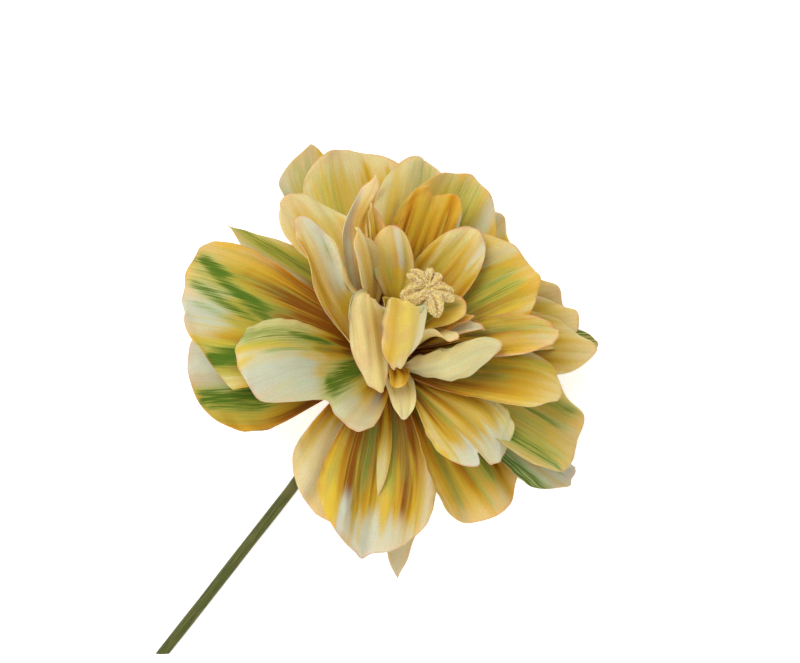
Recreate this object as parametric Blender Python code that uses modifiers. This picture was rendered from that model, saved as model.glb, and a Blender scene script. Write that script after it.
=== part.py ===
"""A cut tulip: one double bloom on a bent stem, lying on a flat surface.

The bloom is modelled upright round its own axis, and an empty then leans it over.
The tables and named sizes are in millimetres and degrees, and the meshes in metres.
"""
import math
from dataclasses import dataclass, replace

import bmesh
import bpy
import numpy as np
from mathutils import Vector

MM = 0.001

# How the flower lies: the foot of the bloom's axis, and the way the axis leans
FOOT = (2.1, 17.4, 30.0)
LEAN = 35.0
HEADING = 53.0
CENTRING = (0.58, -0.70)

# Petals
BLADE = 0.8
ROOTS = ((6.0, -1.6), (5.6, -0.4), (5.2, 0.8), (4.8, 2.0))
RIB_STEPS = 32
SECTION_STEPS = 12
BROAD = 24.0
NARROW = 12.0
FLAT_ANGLE = 1.0

# Receptacle: its outline from the top down, as (radius, rise), and its sides
RECEPTACLE_OUTLINE = ((0.0, 3.0), (3.6, 3.0), (6.2, 3.6), (8.2, 3.6), (8.8, 2.0), (7.4, -0.8), (4.8, -3.0),
                      (2.4, -4.0), (0.0, -4.0))
RECEPTACLE_SIDES = 14

# Pistil and its stigma
SEAM = 0.3
OVARY_OUTLINE = ((0.0, 38.5), (1.9, 38.5), (2.2, 36.5), (2.5, 28.0), (2.7, 16.0), (2.6, 6.0), (2.3, 3.3),
                 (0.0, 3.3))
OVARY_SIDES = 18
OVARY_RIDGE = 0.10
STIGMA_OUTLINE = ((0.0, 42.6), (2.4, 43.6), (5.0, 44.8), (6.6, 43.6), (6.4, 41.4), (4.0, 39.6), (2.2, 38.8),
                  (0.0, 38.8))
STIGMA_SIDES = 36
STIGMA_LOBES = 5
STIGMA_LOBE_DEPTH = 0.20
STIGMA_LOBE_TURN = -61.0

# Stem
STEM_RADIUS = 1.9
STEM_REST = 1.82
STEM_LANDING = (-30.0, -31.5)
STEM_PULL = 46.0
STEM_ROUTE = ((-45.5, -51.2), (-58.1, -67.4), (-72.5, -85.6))
STEM_END_Y = -84.6
STEM_POINT_GAP = 4.0
STEM_SEAM = 0.45


@dataclass(frozen=True)
class Petal:
    """One petal. A place is its turn round the axis, its reach from it and its rise along it."""
    name: str
    tip: tuple                  # place of the tip
    lean: float                 # angle from the axis where the petal leaves the receptacle
    curl: float                 # angle from the axis at the tip
    width: float
    cup: tuple = (40, 20)       # how far each half bends up, at the root and at the tip
    end: tuple = (0.4, 2.0)     # share of the length that rounds off, and 1 for a point to 2 for an arc
    neck: float = 0.22          # share of the width at the root
    fill: float = 1.2           # how late the petal reaches its width
    root_turn: float = None     # turn of the root, where it isn't that of the tip
    root: tuple = (4.2, 2.0)    # reach and rise of the root
    over: tuple = None          # a place that the petal passes through on its way
    veer: float = 0.0           # turn of the tip's direction from its own side
    turned: tuple = (0, 0)      # roll about the midrib at the root, and what it gains by the tip
    pleat: tuple = (0, 1, 0)    # depth, number and phase of the lengthwise folds
    ruffle: tuple = (0, 1)      # height and number of the waves along the margin
    notch: tuple = (0, 0)       # depth and place of a cut in the end
    skew: float = 0.0           # how much longer one half is than the other


GUARD_PETALS = (
    Petal("guard_top", (52, 78, 0), 45, 85, 48, (40, 15), (0.5, 1.25), root_turn=84),
    Petal("guard_left", (80, 67, -14), 60, 100, 24, (50, 40), (0.5, 1.25), root_turn=76),
    Petal("guard_upper_right", (-6, 64, 12), 45, 85, 28, (50, 10)),
    Petal("guard_right", (-36, 65, 12), 50, 85, 26, (50, 10)),
    Petal("guard_far_right", (-46, 78, 1), 60, 90, 22, (50, 20), (0.4, 1.5)),
    Petal("guard_lower_right", (-74, 79, -14), 70, 105, 36, (50, 10), (0.4, 1.5), root_turn=-85),
    Petal("guard_bottom", (-127, 63, -46), 80, 125, 26, (50, 30), (0.5, 1.15)),
    Petal("guard_lower_left", (127, 59, -23), 90, 115, 46, (40, 10), root_turn=145, ruffle=(2.5, 2)),
)

OUTER_PETALS = (
    Petal("outer_top", (46, 68, 13), 35, 80, 43, (40, 10), (0.3, 2.0)),
    Petal("outer_top_middle", (25, 63, 21), 35, 80, 30, (40, 15)),
    Petal("outer_top_right", (10, 61, 27), 35, 75, 36, (40, 15), (0.45, 1.4)),
    Petal("outer_right", (-46, 64, 17), 45, 85, 24),
    Petal("outer_far_right", (-56, 68, 19), 60, 85, 26, (40, 20), (0.45, 1.4)),
    Petal("outer_green", (-74, 72, -3), 70, 100, 44, (40, 20), (0.35, 2.0)),
    Petal("outer_lower_right", (-101, 65, -14), 80, 110, 42, (50, 10), (0.3, 2.0)),
    Petal("outer_bottom", (-145, 62, -28), 90, 125, 40, (50, 10), (0.3, 1.6)),
    Petal("outer_bottom_left", (-166, 48, -30), 90, 130, 27, (50, 20)),
    Petal("outer_wing", (117, 66, -5), 75, 95, 57, (45, 5), (0.26, 2.8), root_turn=130, turned=(-6, 0)),
    Petal("outer_saddle", (150, 49, 2), 60, 120, 56, (10, 0), neck=0.3, root_turn=172,
          pleat=(-7, 1.5, -40), notch=(0.24, 0.22), skew=-0.15),
)

MIDDLE_PETALS = (
    Petal("middle_amber", (27, 41, 38), 15, 50, 20, (40, 30), (0.3, 2.0)),
    Petal("middle_pale", (-3, 34, 38), 25, 60, 20),
    Petal("middle_fan", (-34, 44, 35), 35, 70, 40, (40, 20), (0.3, 2.0)),
    Petal("middle_fold", (-64, 47, 36), 45, 75, 20, (40, 20), (0.3, 2.0)),
    Petal("middle_silver", (-84, 30, 36), 50, 80, 14, (60, 60), (0.5, 2.0), neck=0.3, root_turn=-120,
          over=(-120, 21, 27), turned=(-30, -50)),
    Petal("middle_tongue", (-73, 56, 19), 65, 95, 28, (40, 20), (0.35, 2.0), neck=0.4, root_turn=-95),
    Petal("middle_notched", (-107, 51, 7), 75, 125, 33, (50, 0), (0.2, 2.0), neck=0.25, fill=2.8,
          root_turn=-115, notch=(0.12, -0.25)),
    Petal("middle_upper_left", (77, 54, 21), 25, 80, 27, (40, 20), (0.35, 2.0), root_turn=95),
    Petal("middle_rolled", (92, 47, 33), 40, 85, 12, (20, -30), neck=0.5, root_turn=140,
          over=(113, 26, 22), turned=(-40, -10), ruffle=(2, 1.5)),
)

INNER_PETALS = (
    Petal("inner_hood", (61, 40, 48), 25, 45, 22, (70, 60), (0.5, 1.3), root_turn=105,
          over=(72, 31, 32), turned=(-20, -40)),
    Petal("inner_nook", (64, 35, 40), 15, 50, 22, (70, 30), (0.35, 2.0), root_turn=90),
    Petal("inner_left", (83, 31, 41), 25, 50, 19, (60, 20), (0.45, 1.5), root_turn=140,
          over=(86, 20, 29), turned=(-40, -20)),
    Petal("inner_striped", (76, 24, 48), 25, 55, 20, (60, 20), root_turn=115,
          over=(70, 18, 30), turned=(-30, -30)),
    Petal("inner_hanging", (-165, 28, 20), 10, 132, 14, (60, -20), (0.35, 2.0), root_turn=170,
          over=(141, 21, 42), veer=37),
    Petal("inner_front", (-159, 22, 27), 0, 150, 14, (60, -20), (0.45, 1.5), root_turn=-170,
          over=(170, 14, 49)),
    Petal("inner_dark", (-59, 12, 36), 15, 60, 14, (60, 40)),
    Petal("inner_orange", (-67, 19, 35), 25, 60, 9, (60, 40), (0.5, 1.3)),
    Petal("inner_pink", (-70, 24, 33), 30, 65, 8, (60, 40), (0.5, 1.5)),
    Petal("inner_cream", (-104, 18, 36), 25, 70, 9, (60, 60), (0.5, 1.5), turned=(-20, -40)),
    Petal("inner_low_pale", (-143, 31, 12), 60, 120, 10, (50, 30), (0.45, 2.0)),
    Petal("inner_low_orange", (-153, 24, 19), 50, 110, 10, (50, 30), (0.45, 2.0)),
    Petal("inner_golden", (95, 9, 26), 5, 30, 10, (60, 40), (0.5, 1.2)),
)


def outward(turn):
    """The direction straight out from the axis at a turn."""
    angle = math.radians(turn)
    return np.array((math.cos(angle), math.sin(angle), 0.0))


def place(turn, reach, rise):
    """A point from its turn, reach and rise."""
    return outward(turn) * reach + np.array((0.0, 0.0, rise))


def slanted(turn, angle):
    """A direction at an angle from the axis, on the side given by the turn."""
    tilt = math.radians(angle)
    return outward(turn) * math.sin(tilt) + np.array((0.0, 0.0, math.cos(tilt)))


def hermite(start, leaving, end, arriving, steps=RIB_STEPS):
    """Points of a smooth curve between two points with a given direction at each."""
    t = np.linspace(0.0, 1.0, steps + 1)[:, None]
    return ((2 * t**3 - 3 * t**2 + 1) * start + (t**3 - 2 * t**2 + t) * leaving
            + (3 * t**2 - 2 * t**3) * end + (t**3 - t**2) * arriving)


def even_steps(points, steps=RIB_STEPS):
    """The same curve with its points an equal length apart."""
    lengths = np.linalg.norm(np.diff(points, axis=0), axis=1)
    run = np.concatenate(([0.0], np.cumsum(lengths)))
    wanted = np.linspace(0.0, run[-1], steps + 1)
    return np.stack([np.interp(wanted, run, points[:, axis]) for axis in range(3)], axis=1)


def midrib(petal, root_turn):
    """The line down the middle of a petal, from the receptacle to its tip."""
    root = place(root_turn, *petal.root)
    tip = place(*petal.tip)
    leaving = slanted(root_turn, petal.lean)
    arriving = slanted(petal.tip[0] + petal.veer, petal.curl)
    if petal.over is None:
        chord = np.linalg.norm(tip - root)
        return even_steps(hermite(root, leaving * chord, tip, arriving * chord))
    crest = place(*petal.over)
    first = np.linalg.norm(crest - root)
    second = np.linalg.norm(tip - crest)
    along = (tip - root) / np.linalg.norm(tip - root) * 1.1 * min(first, second)
    rise = hermite(root, leaving * first, crest, along)
    fall = hermite(crest, along, tip, arriving * second)
    return even_steps(np.concatenate((rise, fall[1:])))


def frames(rib, root_turn):
    """The side and inner directions at each point of a midrib, carried along without twist."""
    tangents = np.gradient(rib, axis=0)
    tangents /= np.linalg.norm(tangents, axis=1)[:, None]
    side = np.cross((0.0, 0.0, 1.0), outward(root_turn))
    sides = []
    for tangent in tangents:
        side = side - side.dot(tangent) * tangent
        side = side / np.linalg.norm(side)
        sides.append(side)
    sides = np.array(sides)
    return sides, np.cross(tangents, sides)


def reach_of_end(petal, across):
    """The share of the midrib's length at which the petal ends, for each place across it."""
    share, power = petal.end
    ends = 1.0 - share * (1.0 - np.sqrt(np.clip(1.0 - np.abs(across)**power, 0.0, 1.0)))
    ends = ends * (1.0 + petal.skew * across)
    depth, middle = petal.notch
    return ends - depth * np.exp(-((across - middle) / 0.14)**2)


def petal_grid(petal, columns, rows):
    """Points of the petal's middle surface, by row from the root and by column across."""
    root_turn = petal.tip[0] if petal.root_turn is None else petal.root_turn
    rib = midrib(petal, root_turn)
    sides, inners = frames(rib, root_turn)
    even = np.linspace(-1.0, 1.0, columns + 1)
    across = 0.35 * even + 0.65 * np.sin(even * math.pi / 2)
    along = np.linspace(0.0, 1.0, rows + 1)[:, None] * reach_of_end(petal, across)[None, :]
    across = np.broadcast_to(across, along.shape)
    grown = np.clip(along / (1.0 - petal.end[0]), 0.0, 1.0)
    half = petal.width / 2 * (petal.neck + (1 - petal.neck) * np.sin(grown * math.pi / 2)**petal.fill)
    cup = np.radians(petal.cup[0] + (petal.cup[1] - petal.cup[0]) * along)
    out = np.zeros_like(along)
    up = np.zeros_like(along)
    for step in range(SECTION_STEPS):
        bend = cup * across * (step + 0.5) / SECTION_STEPS
        out += np.cos(bend) * across * half / SECTION_STEPS
        up += np.sin(bend) * across * half / SECTION_STEPS
    depth, folds, phase = petal.pleat
    up += depth * along**1.8 * np.sin(math.pi * folds * across + math.radians(phase))
    height, waves = petal.ruffle
    side_phase = np.where(across < 0, 2.1, 0.0)
    up += height * np.abs(across)**2.5 * np.sqrt(along) * np.sin(2 * math.pi * waves * along + side_phase)
    roll = np.radians(petal.turned[0] + petal.turned[1] * along)
    low = np.clip(np.floor(along * RIB_STEPS).astype(int), 0, RIB_STEPS - 1)
    part = (along * RIB_STEPS - low)[..., None]
    middle = rib[low] * (1 - part) + rib[low + 1] * part
    side = sides[low] * (1 - part) + sides[low + 1] * part
    inner = inners[low] * (1 - part) + inners[low + 1] * part
    sideways = out * np.cos(roll) - up * np.sin(roll)
    inwards = out * np.sin(roll) + up * np.cos(roll)
    return middle + sideways[..., None] * side + inwards[..., None] * inner


def grid_size(petal):
    """How many columns and rows a petal gets, by its width and by whether it arches over."""
    extra = 0 if petal.over is None else 3
    if petal.width >= BROAD:
        return 6, 5 + extra
    if petal.width > NARROW:
        return 5, 4 + extra
    return 4, 3 + extra


def link(obj, collection):
    """Put an object in a collection and return it."""
    collection.objects.link(obj)
    return obj


def mesh_object(name, vertices, faces, collection):
    """An object from vertices in millimetres."""
    mesh = bpy.data.meshes.new(name)
    mesh.from_pydata([Vector(v) * MM for v in vertices], [], faces)
    return link(bpy.data.objects.new(name, mesh), collection)


def petal_blade(petal, collection):
    """A petal as a solid blade: a triangulated sheet with a thickness."""
    columns, rows = grid_size(petal)
    points = petal_grid(petal, columns, rows).reshape(-1, 3)
    faces = []
    for row in range(rows):
        for column in range(columns):
            a = row * (columns + 1) + column
            b = a + columns + 1
            if (row + column) % 2:
                faces += [(a, a + 1, b + 1), (a, b + 1, b)]
            else:
                faces += [(a, a + 1, b), (a + 1, b + 1, b)]
    blade = mesh_object(petal.name, points, faces, collection)
    wall = blade.modifiers.new("thickness", "SOLIDIFY")
    wall.thickness = BLADE * MM
    wall.offset = 0.0
    return blade


def evaluated_mesh(obj):
    """A plain copy of an object's mesh with its modifiers applied."""
    graph = bpy.context.evaluated_depsgraph_get()
    return bpy.data.meshes.new_from_object(obj.evaluated_get(graph), depsgraph=graph)


def apply_modifiers(obj):
    """Replace an object's mesh by what its modifiers make of it."""
    mesh = evaluated_mesh(obj)
    obj.modifiers.clear()
    obj.data = mesh


def weld(obj, distance=0.01):
    """Merge the vertices of an object that lie closer than a distance in millimetres."""
    work = bmesh.new()
    work.from_mesh(obj.data)
    bmesh.ops.remove_doubles(work, verts=work.verts, dist=distance * MM)
    work.to_mesh(obj.data)
    work.free()


def keep_largest_body(obj):
    """Keep an object's largest closed surface, so that no sealed hollow and no loose scrap is left."""
    work = bmesh.new()
    work.from_mesh(obj.data)
    waiting = set(work.faces)
    bodies = []
    while waiting:
        body = [waiting.pop()]
        for face in body:
            for near in (other for edge in face.edges for other in edge.link_faces):
                if near in waiting:
                    waiting.remove(near)
                    body.append(near)
        bodies.append(body)
    bodies.sort(key=len)
    rest = [face for body in bodies[:-1] for face in body]
    bmesh.ops.delete(work, geom=rest, context="FACES")
    work.to_mesh(obj.data)
    work.free()


def merge_flat_facets(obj, angle):
    """Join facets that lie within an angle of each other, and split the result into triangles again."""
    work = bmesh.new()
    work.from_mesh(obj.data)
    bmesh.ops.dissolve_limit(work, angle_limit=math.radians(angle), verts=work.verts, edges=work.edges)
    bmesh.ops.triangulate(work, faces=work.faces)
    work.to_mesh(obj.data)
    work.free()


def turned_body(name, outline, sides, collection):
    """A body turned round the bloom's axis from its outline, top down."""
    points = [(radius, 0.0, rise) for radius, rise in outline]
    mesh = bpy.data.meshes.new(name)
    edges = [(index, index + 1) for index in range(len(points) - 1)]
    mesh.from_pydata([Vector(p) * MM for p in points], edges, [])
    body = link(bpy.data.objects.new(name, mesh), collection)
    screw = body.modifiers.new("turn", "SCREW")
    screw.steps = sides
    screw.render_steps = sides
    screw.use_merge_vertices = True
    screw.merge_threshold = 0.00001
    apply_modifiers(body)
    weld(body)
    return body


def make_lobed(body, lobes, depth, first_turn):
    """Push a turned body's surface in and out so that it has lobes round it."""
    for vertex in body.data.vertices:
        turn = math.atan2(vertex.co.y, vertex.co.x) - math.radians(first_turn)
        swell = 1.0 + depth * math.cos(lobes * turn)
        vertex.co.x *= swell
        vertex.co.y *= swell


def material(name, colour, roughness):
    """A plain Principled material."""
    made = bpy.data.materials.new(name)
    made.use_nodes = True
    shader = made.node_tree.nodes["Principled BSDF"]
    shader.inputs["Base Color"].default_value = (*colour, 1.0)
    shader.inputs["Roughness"].default_value = roughness
    shader.inputs["Metallic"].default_value = 0.0
    made.diffuse_color = (*colour, 1.0)
    return made


def cutter_box(name, low, high, collection):
    """A box between two corners in millimetres, used only to cut."""
    mesh = bpy.data.meshes.new(name)
    work = bmesh.new()
    bmesh.ops.create_cube(work, size=1.0)
    low, high = Vector(low) * MM, Vector(high) * MM
    for vertex in work.verts:
        vertex.co = Vector([l if c < 0 else h for c, l, h in zip(vertex.co, low, high)])
    work.to_mesh(mesh)
    work.free()
    box = link(bpy.data.objects.new(name, mesh), collection)
    box.hide_render = True
    box.display_type = "WIRE"
    return box


def cut(obj, cutter):
    """Take a cutter away from an object."""
    boolean = obj.modifiers.new("cut_" + cutter.name, "BOOLEAN")
    boolean.operation = "DIFFERENCE"
    boolean.object = cutter


def dress(obj, finish):
    """Give an object its material and smooth shading with sharp edges kept."""
    obj.data.materials.clear()
    obj.data.materials.append(finish)
    obj.data.shade_smooth()
    obj.data.set_sharp_from_angle(angle=math.radians(40))


def build_bloom(flower):
    """Every petal, joined to the receptacle as one body."""
    blades = bpy.data.collections.new("petal_blades")
    bpy.context.scene.collection.children.link(blades)
    for petals, root in zip((GUARD_PETALS, OUTER_PETALS, MIDDLE_PETALS, INNER_PETALS), ROOTS):
        for petal in petals:
            petal_blade(replace(petal, root=root), blades)
    bloom = turned_body("petals", RECEPTACLE_OUTLINE, RECEPTACLE_SIDES, flower)
    union = bloom.modifiers.new("grown_together", "BOOLEAN")
    union.operation = "UNION"
    union.operand_type = "COLLECTION"
    union.collection = blades
    union.solver = "MANIFOLD"
    apply_modifiers(bloom)
    keep_largest_body(bloom)
    merge_flat_facets(bloom, FLAT_ANGLE)
    for blade in list(blades.objects):
        bpy.data.objects.remove(blade)
    bpy.data.collections.remove(blades)
    dress(bloom, material("petal", (0.86, 0.66, 0.28), 0.55))
    return bloom


def build_pistil(flower):
    """The three-sided green ovary and the crown on top of it."""
    ovary = turned_body("pistil", OVARY_OUTLINE, OVARY_SIDES, flower)
    make_lobed(ovary, 3, OVARY_RIDGE, STIGMA_LOBE_TURN)
    dress(ovary, material("ovary", (0.42, 0.50, 0.16), 0.5))
    stigma = turned_body("stigma", STIGMA_OUTLINE, STIGMA_SIDES, flower)
    make_lobed(stigma, STIGMA_LOBES, STIGMA_LOBE_DEPTH, STIGMA_LOBE_TURN)
    dress(stigma, material("pollen", (0.90, 0.76, 0.36), 0.8))
    return ovary, stigma


def stem_points():
    """The stem's middle line, from under the receptacle down to the surface and out to its cut end."""
    tilt, heading = math.radians(LEAN), math.radians(HEADING)
    axis = np.array((math.sin(tilt) * math.cos(heading), math.sin(tilt) * math.sin(heading), math.cos(tilt)))
    start = np.array(FOOT) + axis * (RECEPTACLE_OUTLINE[-1][1] - STEM_SEAM)
    landing = np.array((*STEM_LANDING, STEM_REST))
    route = [np.array((*point, STEM_REST)) for point in STEM_ROUTE]
    level = (route[0] - landing) / np.linalg.norm(route[0] - landing)
    bend = hermite(start, -axis * STEM_PULL, landing, level * STEM_PULL)
    line = np.concatenate([bend] + [point[None, :] for point in route])
    lengths = np.linalg.norm(np.diff(line, axis=0), axis=1).sum()
    return even_steps(line, round(lengths / STEM_POINT_GAP))


def build_stem(flower, snip):
    """The stem: a tube along its middle line, cut off level at its end."""
    points = stem_points()
    curve = bpy.data.curves.new("stem_line", "CURVE")
    curve.dimensions = "3D"
    curve.bevel_depth = STEM_RADIUS * MM
    curve.bevel_resolution = 3
    curve.use_fill_caps = True
    spline = curve.splines.new("POLY")
    spline.points.add(len(points) - 1)
    for spot, point in zip(spline.points, points):
        spot.co = (*(point * MM), 1.0)
    guide = link(bpy.data.objects.new("stem_line", curve), flower)
    stem = link(bpy.data.objects.new("stem", evaluated_mesh(guide)), flower)
    bpy.data.objects.remove(guide)
    weld(stem)
    dress(stem, material("stem", (0.22, 0.27, 0.06), 0.5))
    cut(stem, snip)
    return stem


def main():
    """Build the whole flower."""
    for obj in list(bpy.data.objects):
        bpy.data.objects.remove(obj)
    flower = bpy.data.collections.new("tulip")
    cutters = bpy.data.collections.new("cutters")
    for collection in (flower, cutters):
        bpy.context.scene.collection.children.link(collection)

    ground = cutter_box("ground", (-200, -200, -60), (200, 200, 0), cutters)
    snip = cutter_box("snip", (-200, -200, -30), (200, STEM_END_Y, 30), cutters)
    lying = link(bpy.data.objects.new("lying", None), flower)
    lying.location = (CENTRING[0] * MM, CENTRING[1] * MM, 0.0)
    axis = link(bpy.data.objects.new("bloom_axis", None), flower)
    axis.parent = lying
    axis.location = Vector(FOOT) * MM
    axis.rotation_euler = (0.0, math.radians(LEAN), math.radians(HEADING))

    bloom = build_bloom(flower)
    ovary, stigma = build_pistil(flower)
    stem = build_stem(flower, snip)
    for obj in (bloom, ovary, stigma):
        obj.parent = axis
    for obj in (stem, ground, snip):
        obj.parent = lying
    cut(bloom, ground)


main()
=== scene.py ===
"""Looks for a cut double tulip that lies on a pale table.

Every petal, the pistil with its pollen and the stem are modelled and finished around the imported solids.
Tables hold millimetres and degrees, and meshes are in metres.
A petal's own directions are "along", from 0 at its root to 1 at its tip, and "across", from -1 to 1.
"""

import logging
import math
from dataclasses import dataclass, field
from enum import Enum
from functools import partial

import bmesh
import bpy
import numpy as np
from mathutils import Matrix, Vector

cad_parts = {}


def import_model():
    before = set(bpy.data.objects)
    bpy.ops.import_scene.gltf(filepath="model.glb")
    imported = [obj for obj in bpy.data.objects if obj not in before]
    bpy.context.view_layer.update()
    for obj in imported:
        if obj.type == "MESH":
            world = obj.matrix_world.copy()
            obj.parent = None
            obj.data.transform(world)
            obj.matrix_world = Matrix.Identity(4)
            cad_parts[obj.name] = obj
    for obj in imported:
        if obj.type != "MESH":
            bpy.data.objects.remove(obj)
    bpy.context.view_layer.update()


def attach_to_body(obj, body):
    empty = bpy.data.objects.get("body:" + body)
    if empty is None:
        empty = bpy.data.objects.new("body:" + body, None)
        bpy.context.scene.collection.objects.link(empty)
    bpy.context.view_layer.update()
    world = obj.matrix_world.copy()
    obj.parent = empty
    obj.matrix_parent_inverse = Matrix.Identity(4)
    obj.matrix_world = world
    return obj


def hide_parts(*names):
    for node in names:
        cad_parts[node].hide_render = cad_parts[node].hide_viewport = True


LOG = logging.getLogger("tulip")
MM = 0.001
WELD = 0.00001                  # vertices nearer than this are one vertex, in metres
BROAD = 36.0                    # a petal this wide has the finest grid and the full height of folds
GRIDS = ((BROAD, (96, 80)), (20.0, (60, 64)), (0.0, (32, 48)))  # least width, with its columns and rows
Pair = tuple[float, float]
Triple = tuple[float, float, float]


def smooth_step(low: float, high: float, value: np.ndarray) -> np.ndarray:
    """Rise smoothly from 0 at low to 1 at high.

    Args:
        low: Where the rise starts.
        high: Where the rise ends.
        value: The values to look at.

    Returns:
        The share risen at each value.
    """
    share = np.clip((value - low) / (high - low), 0.0, 1.0)
    return share * share * (3.0 - 2.0 * share)


def unit(vectors: np.ndarray) -> np.ndarray:
    """Scale vectors to length one."""
    return vectors / np.maximum(np.linalg.norm(vectors, axis=-1, keepdims=True), 1e-9)


@dataclass(frozen=True)
class Lie:
    """How the flower lies: the foot of the bloom's axis, and the way the axis leans."""

    foot: Triple = (2.68, 16.70, 30.0)
    lean: float = 35.0
    heading: float = 53.0

    def matrix(self) -> np.ndarray:
        """Work out the rotation that leans the upright bloom over.

        Returns:
            The rotation as three rows of three numbers.
        """
        lean = math.radians(self.lean)
        heading = math.radians(self.heading)
        tilt = np.array(((math.cos(lean), 0, math.sin(lean)),
                         (0, 1, 0),
                         (-math.sin(lean), 0, math.cos(lean))))
        turn = np.array(((math.cos(heading), -math.sin(heading), 0),
                         (math.sin(heading), math.cos(heading), 0),
                         (0, 0, 1)))
        return turn @ tilt

    def place(self, points: np.ndarray) -> np.ndarray:
        """Move points from round the upright axis to where the flower lies."""
        return points @ self.matrix().T + np.array(self.foot)


def outward(turn: float) -> np.ndarray:
    """The direction straight out from the axis at a turn."""
    angle = math.radians(turn)
    return np.array((math.cos(angle), math.sin(angle), 0.0))


def spot(turn: float, reach: float, rise: float) -> np.ndarray:
    """A point from its turn round the axis, its reach from it and its rise along it."""
    return outward(turn) * reach + np.array((0.0, 0.0, rise))


def slanted(turn: float, angle: float) -> np.ndarray:
    """A direction at an angle from the axis, on the side given by the turn."""
    tilt = math.radians(angle)
    return outward(turn) * math.sin(tilt) + np.array((0.0, 0.0, math.cos(tilt)))


def hermite(start: np.ndarray, leaving: np.ndarray, end: np.ndarray, arriving: np.ndarray,
            steps: int = 96) -> np.ndarray:
    """Trace a smooth curve between two points.

    Args:
        start: The first point.
        leaving: Direction and pull at the first point.
        end: The last point.
        arriving: Direction and pull at the last point.
        steps: Number of steps on the curve.

    Returns:
        The points of the curve.
    """
    t = np.linspace(0.0, 1.0, steps + 1)[:, None]
    return ((2 * t**3 - 3 * t**2 + 1) * start + (t**3 - 2 * t**2 + t) * leaving
            + (3 * t**2 - 2 * t**3) * end + (t**3 - t**2) * arriving)


def even_steps(points: np.ndarray, steps: int) -> np.ndarray:
    """Place points an equal length apart on the same curve.

    Args:
        points: The curve's points.
        steps: Number of steps on the result.

    Returns:
        The points of the result.
    """
    lengths = np.linalg.norm(np.diff(points, axis=0), axis=1)
    run = np.concatenate(([0.0], np.cumsum(lengths)))
    wanted = np.linspace(0.0, run[-1], steps + 1)
    return np.stack([np.interp(wanted, run, column) for column in points.T], axis=1)


def smooth_line(points: tuple[Pair, ...], steps: int) -> np.ndarray:
    """Round off a line through a few points, by repeated corner cutting.

    Args:
        points: The line's points.
        steps: Number of even steps on the result.

    Returns:
        The points of the rounded line.
    """
    line = np.array(points, dtype=float)
    for _ in range(3):
        ahead = 0.75 * line[:-1] + 0.25 * line[1:]
        behind = 0.25 * line[:-1] + 0.75 * line[1:]
        cut = np.stack((ahead, behind), axis=1).reshape(-1, 2)
        line = np.concatenate((line[:1], cut, line[-1:]))
    return even_steps(line, steps)


def linked(name: str, data: bpy.types.ID) -> bpy.types.Object:
    """Make an object and put it in the scene.

    Args:
        name: The object's name.
        data: Its mesh, camera or light.

    Returns:
        The object.
    """
    made = bpy.data.objects.new(name, data)
    bpy.context.scene.collection.objects.link(made)
    return made


def placed(mesh: bpy.types.Mesh, finish: bpy.types.Material) -> bpy.types.Object:
    """Give a mesh its material and put it in the scene."""
    mesh.materials.append(finish)
    return linked(mesh.name, mesh)


def per_vertex(mesh: bpy.types.Mesh, name: str, values: np.ndarray) -> None:
    """Store one number for each vertex of a mesh."""
    layer = mesh.attributes.new(name, "FLOAT", "POINT")
    layer.data.foreach_set("value", values.astype(np.float32))


def vertices_of(mesh: bpy.types.Mesh) -> np.ndarray:
    """Read the places of a mesh's vertices.

    Args:
        mesh: The mesh to read.

    Returns:
        One row for each vertex, in millimetres.
    """
    flat = np.empty(3 * len(mesh.vertices))
    mesh.vertices.foreach_get("co", flat)
    return flat.reshape(-1, 3) / MM


def move_vertices(mesh: bpy.types.Mesh, points: np.ndarray) -> None:
    """Put a mesh's vertices at new places, in millimetres."""
    mesh.vertices.foreach_set("co", (points * MM).ravel())
    mesh.update()


@dataclass(frozen=True)
class Footing:
    """How a ring of petals grows on the receptacle."""

    reach: float                # from the axis to the petals' roots
    rise: float                 # along the axis to the petals' roots
    shade_and_dullness: float             # how far the ring's petals are darkened, from 0 to 1: painted shade on the low outer rings, together with their duller skin


class Whorl(Enum):
    """The rings of petals, from the outermost in."""

    GUARD = Footing(6.0, -1.6, 0.38)
    OUTER = Footing(5.6, -0.4, 0.22)
    MIDDLE = Footing(5.2, 0.8, 0.08)
    INNER = Footing(4.8, 2.0, 0.0)


class Tint(Enum):
    """What a streak is made of, by the channel of the petal's paint that holds it."""

    AMBER = 0
    YELLOW = 1
    GREEN = 2
    WHITE = 3


@dataclass(frozen=True)
class Streak:
    """One streak of colour along the veins."""

    tint: Tint
    first: float                # place across the petal where it starts
    last: float                 # place across the petal where it stops
    spread: float               # how far it reaches to each side
    start: float                # place along the petal where it starts
    stop: float                 # place along the petal where it stops
    strength: float = 1.0


amber = partial(Streak, Tint.AMBER)
yellow = partial(Streak, Tint.YELLOW)
green = partial(Streak, Tint.GREEN)
white = partial(Streak, Tint.WHITE)


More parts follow.
